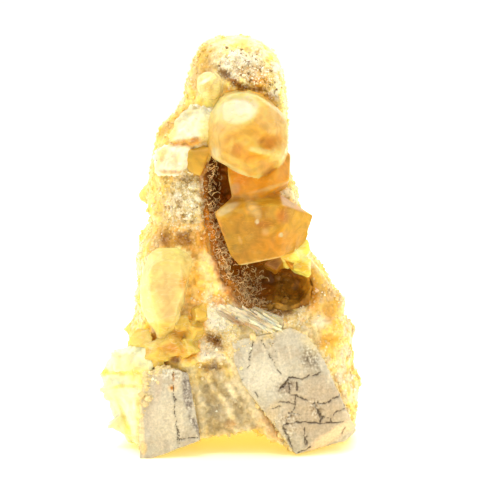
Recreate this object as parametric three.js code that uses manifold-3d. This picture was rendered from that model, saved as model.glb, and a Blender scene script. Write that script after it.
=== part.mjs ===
// A calcite specimen standing on its own feet: two limestone fragments cemented by sparry calcite, which
// rises as a lumpy tower round a brown hollow and carries honey, white and yellow crystals.
// Millimetres. X runs to the right and Y away from the viewer, and Z is up from the foot.
import * as THREE from "three";
import { ConvexGeometry } from "three/addons/geometries/ConvexGeometry.js";
import { mergeVertices } from "three/addons/utils/BufferGeometryUtils.js";
import Module from "manifold-3d";

const wasm = await Module();
wasm.setup();

// Driving dimensions
const GROWTH_GAP = 0.3; // between pieces that grew against each other
const CORNER_GAP = 0.45; // by which a crystal's corners are moved out to make that gap at its faces
const LARGE_LUMP = 9; // spacing and height of the swells on the calcite tower
const LARGE_LUMP_HEIGHT = 1.5;
const SMALL_LUMP = 3.6;
const SMALL_LUMP_HEIGHT = 0.9;
const CORNER_POWER = 2.5; // 2 gives oval cross-sections of the tower, and more gives squarer ones
const TOWER_RINGS = 25;
const TOWER_SIDES = 29;
const POINT_SCATTER = 0.3; // of the tower's surface points, as a share of their spacing
const CRUST_THICKNESS = 1.3; // of the brown lining of the hollow
const FLOOR_DEPTH = 20; // of the block that cuts the specimen's underside flat

// The tower's cross-sections from the base up: height, left and right edges, front and back faces
const TOWER_LEVELS = [
  { z: -1.5, left: -20.6, right: 28.4, front: -14.0, back: 18.0 },
  { z: 3.0, left: -22.0, right: 29.0, front: -15.4, back: 19.0 },
  { z: 8.0, left: -22.8, right: 29.0, front: -16.0, back: 19.6 },
  { z: 14.0, left: -22.8, right: 28.8, front: -16.0, back: 19.4 },
  { z: 20.0, left: -22.2, right: 27.4, front: -15.8, back: 18.8 },
  { z: 26.0, left: -21.4, right: 26.0, front: -15.2, back: 18.2 },
  { z: 31.0, left: -21.0, right: 24.8, front: -14.8, back: 17.6 },
  { z: 35.0, left: -21.2, right: 23.8, front: -14.4, back: 17.0 },
  { z: 38.5, left: -20.8, right: 20.4, front: -14.0, back: 16.4 },
  { z: 42.0, left: -20.2, right: 18.4, front: -13.6, back: 15.8 },
  { z: 46.0, left: -19.4, right: 16.2, front: -13.2, back: 15.2 },
  { z: 50.2, left: -17.0, right: 15.8, front: -12.8, back: 14.8 },
  { z: 54.0, left: -18.0, right: 15.6, front: -12.6, back: 14.4 },
  { z: 59.0, left: -18.2, right: 13.6, front: -12.2, back: 13.8 },
  { z: 64.0, left: -17.6, right: 11.9, front: -11.6, back: 13.2 },
  { z: 68.5, left: -16.6, right: 12.4, front: -11.0, back: 12.4 },
  { z: 72.0, left: -14.0, right: 12.8, front: -10.4, back: 11.8 },
  { z: 75.0, left: -10.0, right: 12.4, front: -9.8, back: 11.0 },
  { z: 77.4, left: -8.0, right: 12.0, front: -9.2, back: 10.4 },
  { z: 80.4, left: -7.8, right: 11.6, front: -9.4, back: 9.8 },
  { z: 84.0, left: -7.0, right: 10.8, front: -9.2, back: 9.2 },
  { z: 87.0, left: -6.0, right: 10.0, front: -7.8, back: 7.8 },
  { z: 89.2, left: -4.6, right: 8.4, front: -5.4, back: 5.6 },
  { z: 90.2, left: -2.6, right: 5.2, front: -3.0, back: 3.2 },
];

// Angles of calcite's crystal faces from the crystal's long axis
const RHOMB_ANGLE = 44.6;
const STEEP_RHOMB_ANGLE = 63.1;

// Repeatable randomness

function randomFrom(seed) {
  let state = seed >>> 0;
  return () => {
    state = (state + 0x6d2b79f5) >>> 0;
    let t = Math.imul(state ^ (state >>> 15), 1 | state);
    t = (t + Math.imul(t ^ (t >>> 7), 61 | t)) ^ t;
    return ((t ^ (t >>> 14)) >>> 0) / 4294967296;
  };
}

function latticeValue(i, j, k) {
  let h = Math.imul(i, 374761393) + Math.imul(j, 668265263) + Math.imul(k, 1440662683);
  h = Math.imul(h ^ (h >>> 13), 1274126177);
  return ((h ^ (h >>> 16)) >>> 0) / 2147483648 - 1;
}

// Smooth noise from -1 to 1 whose lumps are about `size` apart
function noise(x, y, z, size) {
  const place = [x / size, y / size, z / size];
  const cell = place.map(Math.floor);
  const [u, v, w] = place.map((p, axis) => {
    const t = p - cell[axis];
    return t * t * (3 - 2 * t);
  });
  let total = 0;
  for (const [a, wa] of [[0, 1 - u], [1, u]])
    for (const [b, wb] of [[0, 1 - v], [1, v]])
      for (const [c, wc] of [[0, 1 - w], [1, w]])
        total += wa * wb * wc * latticeValue(cell[0] + a, cell[1] + b, cell[2] + c);
  return total;
}

// Solids from three.js geometry and back

function solidOf(geometry) {
  const bare = geometry.index ? geometry.toNonIndexed() : geometry.clone();
  for (const name of Object.keys(bare.attributes)) {
    if (name !== "position") bare.deleteAttribute(name);
  }
  const merged = mergeVertices(bare, 1e-4);
  return new wasm.Manifold(
    new wasm.Mesh({
      numProp: 3,
      vertProperties: merged.attributes.position.array,
      triVerts: new Uint32Array(merged.index.array),
    }),
  );
}

function geometryOf(solid) {
  const mesh = solid.getMesh();
  const geometry = new THREE.BufferGeometry();
  geometry.setAttribute("position", new THREE.BufferAttribute(mesh.vertProperties, 3));
  geometry.setIndex(new THREE.BufferAttribute(mesh.triVerts, 1));
  const flatShaded = geometry.toNonIndexed();
  flatShaded.computeVertexNormals();
  return flatShaded;
}

const joined = (solids) => solids.reduce((a, b) => a.add(b));

// The main body of a solid, without the crumbs that a cut leaves
function mainBody(solid) {
  return solid.decompose().reduce((a, b) => (a.volume() > b.volume() ? a : b));
}

// Crystal shapes. Each has its solid and the room that it needs in its neighbours, which is a gap larger.

const hull = (corners) => solidOf(new ConvexGeometry(corners.map((c) => new THREE.Vector3(...c))));

const GAP_WAYS = [0, 1, 2].flatMap((axis) => [-1, 1].map((way) => [axis, way]));

// The flat-sided crystal whose corners are the given points
function crystal(corners) {
  const moved = corners.flatMap((corner) =>
    GAP_WAYS.map(([axis, way]) => corner.with(axis, corner[axis] + way * CORNER_GAP)),
  );
  return { solid: hull(corners), room: hull(moved) };
}

// Crystals that overlap, grown together into one
function grownTogether(crystals) {
  return {
    solid: joined(crystals.map((each) => each.solid)),
    room: joined(crystals.map((each) => each.room)),
  };
}

function faceDirection(fromAxis, around) {
  const [polar, turn] = [fromAxis, around].map(THREE.MathUtils.degToRad);
  return new THREE.Vector3(
    Math.sin(polar) * Math.cos(turn),
    Math.sin(polar) * Math.sin(turn),
    Math.cos(polar),
  );
}

// Calcite's threefold faces: three round the top of the long axis and three between them at its foot
function rhombohedronFaces(angle, distance) {
  return [0, 120, 240].flatMap((turn) => [
    { direction: faceDirection(angle, turn), distance },
    { direction: faceDirection(180 - angle, turn + 60), distance },
  ]);
}

// The corners where three faces meet and no other face cuts the meeting point away
function cornersOf(faces) {
  const corners = [];
  const matrix = new THREE.Matrix3();
  for (let i = 0; i < faces.length; i++)
    for (let j = i + 1; j < faces.length; j++)
      for (let k = j + 1; k < faces.length; k++) {
        const three = [faces[i], faces[j], faces[k]];
        matrix.set(...three.flatMap((face) => face.direction.toArray()));
        if (Math.abs(matrix.determinant()) < 1e-6) continue;
        const corner = new THREE.Vector3(...three.map((face) => face.distance));
        corner.applyMatrix3(matrix.invert());
        const outside = faces.some((face) => face.direction.dot(corner) > face.distance + 1e-6);
        if (!outside && !corners.some((c) => c.distanceTo(corner) < 1e-4)) corners.push(corner);
      }
  return corners;
}

const RHOMBOHEDRON = cornersOf(rhombohedronFaces(RHOMB_ANGLE, 1));
const STEEP_CRYSTAL = cornersOf(rhombohedronFaces(STEEP_RHOMB_ANGLE, 1));
const GRAIN_FORMS = [RHOMBOHEDRON, STEEP_CRYSTAL];

// One crystal form at a place, with its long axis tipped to a direction and turned about it
function placedCrystal(form, { at, size, along = [0, 0, 1], turn = 0, stretch = 1 }) {
  const tip = new THREE.Quaternion().setFromUnitVectors(
    new THREE.Vector3(0, 0, 1),
    new THREE.Vector3(...along).normalize(),
  );
  const spin = new THREE.Quaternion().setFromAxisAngle(
    new THREE.Vector3(0, 0, 1),
    THREE.MathUtils.degToRad(turn),
  );
  const corners = form.map((corner) =>
    corner
      .clone()
      .multiply(new THREE.Vector3(size, size, size * stretch))
      .applyQuaternion(spin)
      .applyQuaternion(tip)
      .add(new THREE.Vector3(...at))
      .toArray(),
  );
  return crystal(corners);
}

// A rounded lump with a rough surface
function lump({ at, size, detail = 2, roughness = 0, grain = 4 }) {
  const geometry = new THREE.IcosahedronGeometry(1, detail);
  const position = geometry.attributes.position;
  const point = new THREE.Vector3();
  for (let i = 0; i < position.count; i++) {
    point.fromBufferAttribute(position, i).multiply(new THREE.Vector3(...size));
    const place = point.clone().add(new THREE.Vector3(...at));
    const swell = 1 + roughness * noise(place.x, place.y, place.z, grain);
    point.multiplyScalar(swell).add(new THREE.Vector3(...at));
    position.setXYZ(i, point.x, point.y, point.z);
  }
  return solidOf(geometry);
}

// A crystal with rounded edges: an egg of three half-sizes pressed flat where its faces would lie
function roundedCrystal(shape) {
  const roomSize = shape.size.map((half) => half + 1.3 * GROWTH_GAP);
  return { solid: pressedEgg(shape), room: pressedEgg({ ...shape, size: roomSize }) };
}

function pressedEgg({ at, size, faces, edgePower, detail }) {
  const geometry = new THREE.IcosahedronGeometry(1, detail);
  const position = geometry.attributes.position;
  const ray = new THREE.Vector3();
  for (let i = 0; i < position.count; i++) {
    ray.fromBufferAttribute(position, i).normalize();
    let pressed = 0;
    for (const face of faces) {
      const facing = Math.max(0, ray.dot(face.direction) / face.distance);
      pressed += facing ** edgePower;
    }
    const reach = pressed ** (-1 / edgePower);
    position.setXYZ(
      i,
      at[0] + ray.x * reach * size[0],
      at[1] + ray.y * reach * size[1],
      at[2] + ray.z * reach * size[2],
    );
  }
  return solidOf(geometry);
}

// The calcite tower

// The tower's edges at a height, on a smooth curve through its levels
function crossSection(z) {
  const last = TOWER_LEVELS.length - 1;
  const above = TOWER_LEVELS.findIndex((level) => level.z >= z);
  const i = above < 0 ? last : Math.max(1, above);
  const four = [i - 2, i - 1, i, i + 1].map((n) => TOWER_LEVELS[Math.min(last, Math.max(0, n))]);
  const t = THREE.MathUtils.clamp((z - four[1].z) / (four[2].z - four[1].z), 0, 1);
  const smooth = (edge) => {
    const [a, b, c, d] = four.map((level) => level[edge]);
    return (
      0.5 *
      (2 * b + (c - a) * t + (2 * a - 5 * b + 4 * c - d) * t * t + (3 * b - a - 3 * c + d) * t ** 3)
    );
  };
  return { left: smooth("left"), right: smooth("right"), front: smooth("front"), back: smooth("back") };
}

// A point of the tower's skin at a height and a turn about its axis; inward is how far under the skin
function towerPoint(z, turn, inward = 0) {
  const { left, right, front, back } = crossSection(z);
  const middle = new THREE.Vector3((left + right) / 2, (front + back) / 2, z);
  const [c, s] = [Math.cos(turn), Math.sin(turn)];
  const squared = (value) => Math.sign(value) * Math.abs(value) ** (2 / CORNER_POWER);
  const point = new THREE.Vector3(
    middle.x + (squared(c) * (right - left)) / 2,
    middle.y + (squared(s) * (back - front)) / 2,
    z,
  );
  const outward = point.clone().sub(middle).normalize();
  const swell =
    LARGE_LUMP_HEIGHT * noise(point.x, point.y, z, LARGE_LUMP) +
    SMALL_LUMP_HEIGHT * noise(point.x + 50, point.y, z, SMALL_LUMP);
  return { point: point.addScaledVector(outward, swell - inward), outward };
}

function towerSolid(inward = 0) {
  const bottom = TOWER_LEVELS[0].z;
  const top = TOWER_LEVELS[TOWER_LEVELS.length - 1].z - inward;
  const places = [];
  for (let ring = 0; ring < TOWER_RINGS; ring++) {
    const scatter = ring > 0 && ring < TOWER_RINGS - 1 ? POINT_SCATTER : 0;
    for (let side = 0; side < TOWER_SIDES; side++) {
      const step = ring + scatter * latticeValue(ring, side, 1);
      const z = bottom + ((top - bottom) * step) / (TOWER_RINGS - 1);
      const part = side + 0.5 * (ring % 2) + scatter * latticeValue(ring, side, 2);
      places.push(...towerPoint(z, (2 * Math.PI * part) / TOWER_SIDES, inward).point.toArray());
    }
  }
  const foot = places.length / 3;
  const { left, right, front, back } = crossSection(top);
  places.push(0, 0, bottom, (left + right) / 2, (front + back) / 2, top + 0.5);
  const faces = [];
  const corner = (ring, side) => ring * TOWER_SIDES + (side % TOWER_SIDES);
  for (let side = 0; side < TOWER_SIDES; side++) {
    faces.push(foot, corner(0, side + 1), corner(0, side));
    faces.push(foot + 1, corner(TOWER_RINGS - 1, side), corner(TOWER_RINGS - 1, side + 1));
    for (let ring = 0; ring < TOWER_RINGS - 1; ring++) {
      const [a, b] = [corner(ring, side), corner(ring, side + 1)];
      const [c, d] = [corner(ring + 1, side), corner(ring + 1, side + 1)];
      if (ring % 2) faces.push(a, b, d, a, d, c);
      else faces.push(a, b, c, b, d, c);
    }
  }
  const geometry = new THREE.BufferGeometry();
  geometry.setAttribute("position", new THREE.Float32BufferAttribute(places, 3));
  geometry.setIndex(faces);
  return solidOf(geometry);
}

// Grains of calcite that stand out of a band of the tower's skin, spaced apart and clear of other pieces
function skinGrains({ seed, count, heights, turns, sizes }, rooms) {
  const random = randomFrom(seed);
  const between = ([low, high]) => low + (high - low) * random();
  const grains = [];
  for (let trial = 0; trial < 3 * count && grains.length < count; trial++) {
    const size = between(sizes);
    const { point, outward } = towerPoint(
      between(heights),
      THREE.MathUtils.degToRad(between(turns)),
      0.75 * size,
    );
    const lean = new THREE.Vector3(random() - 0.5, random() - 0.5, random() - 0.3);
    const form = GRAIN_FORMS[Math.floor(random() * GRAIN_FORMS.length)];
    const along = outward.clone().addScaledVector(lean, 1.2).toArray();
    const shape = { at: point.toArray(), size, along, turn: 360 * random(), stretch: 0.9 + 0.3 * random() };
    const crowded = grains.some((other) => other.point.distanceTo(point) < 1.15 * (other.size + size));
    if (crowded) continue;
    const { solid } = placedCrystal(form, shape);
    if (rooms.every((room) => solid.intersect(room).isEmpty())) grains.push({ point, size, solid });
  }
  return grains.map((grain) => grain.solid);
}

// Turns are degrees about the tower's axis: 0 is the right, 90 the back, 180 the left and 270 the front.
const GRAIN_BANDS = [
  { seed: 11, count: 20, heights: [77, 89], turns: [0, 360], sizes: [1.1, 1.7] },
  { seed: 23, count: 13, heights: [47, 76], turns: [165, 262], sizes: [1.3, 2.3] },
  { seed: 37, count: 5, heights: [22, 46], turns: [172, 215], sizes: [1.3, 2.3] },
  { seed: 41, count: 13, heights: [8, 42], turns: [292, 385], sizes: [1.5, 2.6] },
  { seed: 53, count: 6, heights: [9, 36], turns: [248, 290], sizes: [1.3, 2.0] },
  { seed: 67, count: 10, heights: [8, 76], turns: [30, 160], sizes: [1.9, 3.2] },
];

// The hollow: a slanting trough down the front that widens into a cave at the right
const HOLLOW_LUMPS = [
  { at: [-1.6, -11.6, 64.2], size: [3.2, 5.6, 4.6] },
  { at: [-1.6, -11.4, 59.0], size: [4.8, 7.4, 5.6] },
  { at: [-1.2, -11.4, 53.0], size: [5.0, 8.0, 6.0] },
  { at: [0.6, -11.8, 47.0], size: [5.4, 8.8, 6.2] },
  { at: [3.4, -12.0, 41.4], size: [6.2, 9.8, 6.2] },
  { at: [7.6, -12.4, 37.4], size: [7.4, 11.8, 6.4] },
  { at: [13.1, -12.6, 37.0], size: [7.4, 11.0, 6.0] },
];

function hollowSolid(shrink = 0) {
  return joined(
    HOLLOW_LUMPS.map(({ at, size }) =>
      lump({ at, size: size.map((s) => s - shrink), detail: 1, roughness: 0.1, grain: 3.5 }),
    ),
  );
}

// Small pits and the shadowed ledge under the tower's head
const PITS = [
  { at: [-2.9, -16.0, 25.2], size: [1.7, 3.0, 1.5] },
  { at: [-3.4, -16.4, 19.8], size: [1.3, 2.4, 1.1] },
  { at: [-11.6, -14.6, 20.9], size: [1.4, 2.4, 0.9] },
  { at: [-14.9, -12.4, 51.6], size: [1.9, 2.2, 1.2] },
  { at: [-7.4, -12.6, 51.4], size: [1.8, 2.2, 1.3] },
  { at: [-0.6, -9.6, 82.0], size: [2.2, 2.4, 0.8] },
  { at: [2.8, -9.8, 80.4], size: [2.4, 2.4, 0.8] },
  { at: [6.2, -9.8, 78.6], size: [2.2, 2.4, 0.8] },
];

// The outline of the tunnel between the specimen's feet, and the broken edge under its right front
const TUNNEL = [
  [-17.0, -0.8],
  [-10.6, 2.4],
  [-6.2, 3.5],
  [1.4, 5.0],
  [5.8, 5.9],
  [9.5, 3.7],
  [12.4, 2.0],
  [15.6, -0.8],
];
const RIGHT_UNDERCUT = { at: [24.0, -15.0, -1.5], size: [8.2, 19.0, 4.2], detail: 1, roughness: 0.1 };
const TUNNEL_NARROWING = 0.9; // of the tunnel's back end to its front end

function tunnel() {
  const middle = 1.5;
  const front = TUNNEL.map(([x, z]) => [x, -24, z]);
  const back = TUNNEL.map(([x, z]) => [middle + (x - middle) * TUNNEL_NARROWING, 24, z * TUNNEL_NARROWING]);
  return hull([...front, ...back]);
}

function calciteMatrix(rooms) {
  const grains = GRAIN_BANDS.flatMap((band) => skinGrains(band, [...rooms, hollowSolid()]));
  const cuts = [
    hollowSolid(),
    ...PITS.map((pit) => lump({ ...pit, detail: 0 })),
    tunnel(),
    lump(RIGHT_UNDERCUT),
    ...rooms,
  ];
  const whole = joined([towerSolid(), ...grains]);
  return mainBody(cutFlat(cuts.reduce((body, cut) => body.subtract(cut), whole)));
}

// The part of a solid above the surface that the specimen stands on
function cutFlat(solid) {
  const ground = new THREE.BoxGeometry(200, 200, FLOOR_DEPTH).translate(0, 0, -FLOOR_DEPTH / 2);
  return solid.subtract(solidOf(ground));
}

// The brown lining of the hollow, open towards the front
function hollowCrust(rooms) {
  const skin = hollowSolid(GROWTH_GAP).intersect(towerSolid(2.2));
  const lining = skin.subtract(hollowSolid(GROWTH_GAP + CRUST_THICKNESS));
  return mainBody(rooms.reduce((crust, room) => crust.subtract(room), lining));
}

// Limestone fragments

const standing = (piece) => ({ solid: cutFlat(piece.solid), room: piece.room });

// A thin groove that a crack opens along a line on a face that looks forward
function crack([from, to], width = 0.5, depth = 0.7) {
  const [start, end] = [new THREE.Vector3(...from), new THREE.Vector3(...to)];
  const across = new THREE.Vector3(0, 1, 0).cross(end.clone().sub(start)).setLength(width / 2);
  const corners = [start, end].flatMap((place) => [
    place.clone().add(across).add(new THREE.Vector3(0, -2, 0)),
    place.clone().sub(across).add(new THREE.Vector3(0, -2, 0)),
    place.clone().addScaledVector(across, 0.3).add(new THREE.Vector3(0, depth, 0)),
    place.clone().addScaledVector(across, -0.3).add(new THREE.Vector3(0, depth, 0)),
  ]);
  return hull(corners.map((corner) => corner.toArray()));
}

function limestoneLeft() {
  const fragment = crystal([
    [-14.9, -17.6, 20.0],
    [-11.4, -17.9, 19.6],
    [-8.8, -18.0, 18.7],
    [-6.0, -18.4, 4.0],
    [-10.6, -18.6, 2.5],
    [-17.2, -19.0, 0.2],
    [-19.4, -19.0, -1.0],
    [-19.6, -18.6, 6.3],
    [-19.2, -18.0, 12.9],
    [-17.9, -17.4, 18.6],
    [-18.6, -5.0, -1.0],
    [-9.0, -4.0, 1.0],
    [-7.8, -5.0, 10.0],
    [-10.0, -5.0, 17.0],
    [-16.6, -5.0, 16.0],
  ]);
  return standing(cracked(fragment, LEFT_CRACKS));
}

const LEFT_CRACKS = [
  [[-11.8, -18.0, 20.0], [-11.7, -18.4, 9.6]],
  [[-11.7, -18.5, 9.9], [-10.6, -18.6, 2.0]],
  [[-9.5, -18.1, 19.0], [-8.2, -18.3, 11.2]],
  [[-8.2, -18.3, 11.5], [-6.7, -18.4, 3.6]],
];

function limestoneRight() {
  const fragment = crystal([
    [0.8, -17.6, 25.7],
    [6.9, -17.0, 27.0],
    [13.6, -16.2, 28.6],
    [17.0, -15.4, 26.8],
    [20.2, -14.8, 22.6],
    [22.6, -15.4, 16.8],
    [25.0, -15.6, 10.9],
    [26.2, -15.0, 8.9],
    [28.4, -11.0, 4.4],
    [26.4, -11.0, 2.2],
    [17.6, -17.2, 2.0],
    [14.9, -17.4, 0.6],
    [14.6, -12.0, -1.0],
    [12.7, -18.6, 6.2],
    [9.3, -19.0, 12.2],
    [3.2, -18.8, 16.5],
    [1.2, -18.2, 21.0],
    [16.0, -5.0, 1.0],
    [24.0, -4.0, 3.0],
    [24.0, -4.0, 10.0],
    [8.0, -5.0, 12.0],
    [4.0, -7.0, 23.0],
    [14.0, -5.0, 25.0],
    [20.0, -5.0, 20.0],
  ]);
  return standing(cracked(fragment, RIGHT_CRACKS));
}

const RIGHT_CRACKS = [
  [[11.2, -18.0, 15.2], [13.0, -17.6, 17.8]],
  [[13.0, -17.6, 17.8], [20.0, -16.0, 17.5]],
  [[13.0, -17.7, 17.4], [17.3, -17.4, 12.7]],
  [[14.8, -17.6, 14.4], [14.2, -17.9, 10.7]],
  [[18.4, -17.2, 11.8], [24.4, -15.9, 12.9]],
  [[18.8, -17.2, 11.8], [20.0, -16.8, 7.4]],
  [[22.5, -16.4, 8.8], [25.3, -15.6, 10.2]],
  [[22.6, -16.3, 9.1], [22.6, -16.3, 7.0]],
  [[12.4, -18.5, 7.4], [18.8, -17.2, 7.6]],
  [[18.6, -17.2, 7.5], [24.4, -16.0, 7.1]],
  [[12.9, -18.4, 6.9], [14.4, -18.0, 2.8]],
  [[16.9, -17.5, 6.0], [17.3, -17.2, 2.4]],
  [[5.4, -17.2, 26.6], [4.3, -18.0, 20.1]],
  [[7.3, -17.1, 26.0], [11.3, -17.7, 18.4]],
];

function cracked(fragment, cracks) {
  const opened = cracks.reduce((body, line) => body.subtract(crack(line)), fragment.solid);
  return { solid: opened, room: fragment.room };
}

// Honey crystals

// Broad faces of the upper honey crystal: the way each looks, and its distance as a share of the egg
const UPPER_HONEY_FACES = [
  [0.1, -0.95, 0.35, 0.92],
  [-0.75, -0.6, 0.25, 0.96],
  [0.8, -0.55, 0.2, 0.95],
  [-0.3, -0.7, -0.65, 0.92],
  [0.6, -0.6, -0.55, 0.98],
  [-0.05, 0.0, 1.0, 1.0],
  [0.58, 0.0, 0.81, 0.91],
  [-0.75, 0.0, 0.66, 1.07],
  [-1.0, 0.0, 0.0, 1.0],
  [1.0, 0.0, 0.0, 0.98],
  [-0.44, 0.0, -0.9, 0.85],
  [0.75, 0.0, -0.66, 1.08],
  [0.1, 0.0, -1.0, 1.0],
  [0.0, 1.0, 0.0, 0.9],
];

const UPPER_HONEY_DENTS = [
  { at: [1.0, -21.9, 67.2], size: [2.6, 2.6, 2.2] },
  { at: [9.2, -21.0, 69.4], size: [3.2, 2.8, 2.8] },
  { at: [8.0, -20.4, 62.2], size: [2.8, 3.0, 2.0] },
];

// The big rounded crystal at the top, an egg pressed into broad faces and dented
function honeyCrystalUpper() {
  const faces = UPPER_HONEY_FACES.map(([x, y, z, distance]) => ({
    direction: new THREE.Vector3(x, y, z).normalize(),
    distance,
  }));
  const shape = { at: [4.4, -12.8, 70.2], size: [8.5, 7.9, 9.4], faces, edgePower: 16, detail: 3 };
  const egg = roundedCrystal(shape);
  const dents = UPPER_HONEY_DENTS.map((dent) => lump({ ...dent, detail: 1 }));
  return { solid: dents.reduce((body, dent) => body.subtract(dent), egg.solid), room: egg.room };
}

// The amber crystal under it and the large rhombohedral one below, which grew into each other
function honeyCrystalsLower() {
  const middle = crystal([
    [-0.3, -12.5, 64.4],
    [0.2, -14.6, 60.7],
    [0.9, -13.5, 56.9],
    [4.1, -15.4, 56.6],
    [7.5, -16.2, 57.4],
    [13.2, -12.5, 60.5],
    [13.4, -10.5, 66.0],
    [4.0, -16.0, 63.4],
    [9.6, -15.4, 63.8],
    [1.0, -6.0, 66.0],
    [12.0, -5.0, 67.0],
    [2.0, -5.0, 57.0],
    [12.6, -4.4, 58.0],
  ]);
  const lower = crystal([
    [-2.9, -15.6, 53.7],
    [1.0, -13.0, 56.9],
    [5.2, -20.0, 55.4],
    [11.8, -19.2, 55.6],
    [11.0, -12.6, 57.4],
    [18.5, -10.5, 52.4],
    [16.5, -11.5, 47.2],
    [14.1, -13.5, 45.1],
    [11.0, -18.2, 44.4],
    [2.5, -17.6, 42.5],
    [0.6, -17.0, 44.5],
    [-0.5, -16.6, 47.5],
    [14.0, -6.0, 46.4],
    [2.4, -6.4, 46.4],
    [-1.0, -8.0, 52.4],
    [4.0, -4.0, 54.4],
    [13.4, -3.4, 53.8],
  ]);
  return grownTogether([middle, lower]);
}

// Other crystals

// The pale crystal at the left, with a broad flat front and bevelled sides
function paleCrystal() {
  return crystal([
    [-19.4, -13.4, 38.2],
    [-18.5, -13.4, 41.3],
    [-17.1, -13.2, 44.6],
    [-15.2, -13.0, 45.8],
    [-11.2, -13.0, 45.9],
    [-9.1, -13.2, 44.6],
    [-8.0, -13.6, 42.7],
    [-8.8, -14.2, 38.8],
    [-9.7, -14.4, 33.1],
    [-12.1, -14.8, 27.8],
    [-13.7, -14.9, 26.0],
    [-15.4, -14.8, 26.3],
    [-18.5, -14.2, 30.8],
    [-19.4, -13.8, 33.8],
    [-17.3, -18.2, 40.7],
    [-16.2, -18.4, 42.7],
    [-14.1, -18.4, 43.8],
    [-10.4, -18.0, 43.3],
    [-9.7, -18.4, 37.2],
    [-11.4, -18.9, 32.1],
    [-15.4, -19.0, 30.6],
    [-16.9, -18.8, 36.0],
    [-17.0, -8.0, 41.0],
    [-11.4, -8.0, 41.0],
    [-12.4, -8.0, 32.0],
    [-16.6, -8.0, 32.0],
  ]);
}

// Bright yellow crystals that fan out at the lower left
function yellowCrystalsLeft() {
  const upper = crystal([
    [-29.1, -6.0, 16.4],
    [-25.9, -9.0, 22.0],
    [-22.2, -10.6, 23.4],
    [-17.0, -13.2, 23.2],
    [-16.6, -16.6, 20.8],
    [-18.2, -17.0, 17.2],
    [-19.4, -16.6, 12.8],
    [-27.9, -7.5, 12.6],
    [-19.0, -4.0, 22.6],
    [-19.0, -4.0, 13.0],
    [-25.8, 0.0, 17.0],
    [-19.0, 2.0, 17.0],
  ]);
  const lower = crystal([
    [-27.5, -6.0, 12.2],
    [-27.2, -5.0, 10.0],
    [-25.8, -5.4, 5.2],
    [-22.6, -6.0, 0.6],
    [-19.2, -15.4, 1.4],
    [-19.2, -16.8, 8.0],
    [-19.6, -16.2, 12.4],
    [-20.0, 0.0, 1.4],
    [-20.0, 3.0, 10.0],
    [-24.2, 1.0, 6.0],
    [-25.6, -1.0, 11.0],
  ]);
  const small = [
    { at: [-24.6, -8.6, 13.4], size: 2.3, along: [-0.7, -0.6, 0.1], turn: 20 },
    { at: [-23.4, -8.4, 6.0], size: 2.0, along: [-0.7, -0.5, -0.2], turn: 70 },
    { at: [-23.0, -11.4, 20.4], size: 2.1, along: [-0.5, -0.7, 0.4], turn: 50 },
  ].map((shape) => placedCrystal(STEEP_CRYSTAL, { ...shape, stretch: 1.2 }));
  return grownTogether([upper, lower, ...small]);
}

// Blunt amber crystals crowded under the pale one: centre, size and turn of each
const AMBER_KNOBS = [
  [-12.4, -15.2, 25.0, 2.0, 10],
  [-9.0, -15.0, 23.8, 1.8, 65],
  [-10.4, -14.8, 28.8, 1.6, 40],
  [-7.8, -14.6, 27.6, 1.7, 85],
  [-15.6, -15.4, 22.8, 1.8, 25],
  [-6.4, -14.6, 31.4, 1.4, 50],
];

function amberCrystals() {
  const wedge = crystal([
    [-22.3, -10.4, 25.2],
    [-22.0, -12.4, 23.8],
    [-16.4, -13.9, 25.3],
    [-16.2, -15.0, 23.8],
    [-17.4, -10.0, 27.6],
    [-20.4, -9.0, 27.2],
    [-19.0, -8.0, 24.0],
  ]);
  const knobs = AMBER_KNOBS.map(([x, y, z, size, turn], i) =>
    placedCrystal(i % 2 ? STEEP_CRYSTAL : RHOMBOHEDRON, {
      at: [x, y, z],
      size,
      along: [0.3 * Math.sin(2.4 * i), -1, 0.5 * Math.cos(1.7 * i)],
      turn,
    }),
  );
  return grownTogether([wedge, ...knobs, bridge(AMBER_KNOBS)]);
}

// The shared root that joins a row of crystals behind them
function bridge(rows) {
  return crystal(rows.flatMap(([x, y, z]) => [-1, 1].map((side) => [x, y + 2, z + side])));
}

// White blocky crystals and an amber wedge on the left shoulder
function shoulderCrystalUpper() {
  return crystal([
    [-13.0, -11.6, 70.2],
    [-10.8, -9.6, 74.0],
    [-7.8, -8.8, 76.4],
    [-4.0, -9.2, 75.6],
    [-3.9, -12.8, 72.3],
    [-5.5, -14.2, 70.3],
    [-8.3, -14.4, 69.6],
    [-12.2, -12.8, 68.9],
    [-5.2, -13.4, 68.2],
    [-10.8, -6.0, 68.4],
    [-4.0, -6.0, 69.0],
    [-6.0, -4.0, 74.0],
  ]);
}

function shoulderCrystalLower() {
  return crystal([
    [-16.1, -10.8, 62.1],
    [-15.0, -11.2, 66.9],
    [-11.4, -12.8, 68.2],
    [-8.2, -14.0, 68.0],
    [-10.0, -14.6, 63.3],
    [-11.3, -14.2, 62.2],
    [-15.4, -5.0, 66.0],
    [-9.4, -5.0, 66.0],
    [-10.0, -6.0, 62.0],
    [-15.6, -6.0, 62.0],
  ]);
}

function wedgeCrystal() {
  return crystal([
    [-8.3, -13.8, 67.0],
    [-3.9, -14.8, 67.6],
    [-5.2, -15.6, 64.3],
    [-6.1, -15.2, 61.7],
    [-8.7, -13.9, 62.9],
    [-8.0, -7.0, 66.6],
    [-7.0, -8.0, 62.4],
    [-5.0, -9.0, 66.0],
  ]);
}

function roundCrystal() {
  const faces = [...rhombohedronFaces(RHOMB_ANGLE, 1), ...rhombohedronFaces(90, 0.96)];
  return roundedCrystal({
    at: [-4.2, -9.6, 80.9],
    size: [2.7, 2.3, 2.6],
    faces,
    edgePower: 14,
    detail: 2,
  });
}

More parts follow.
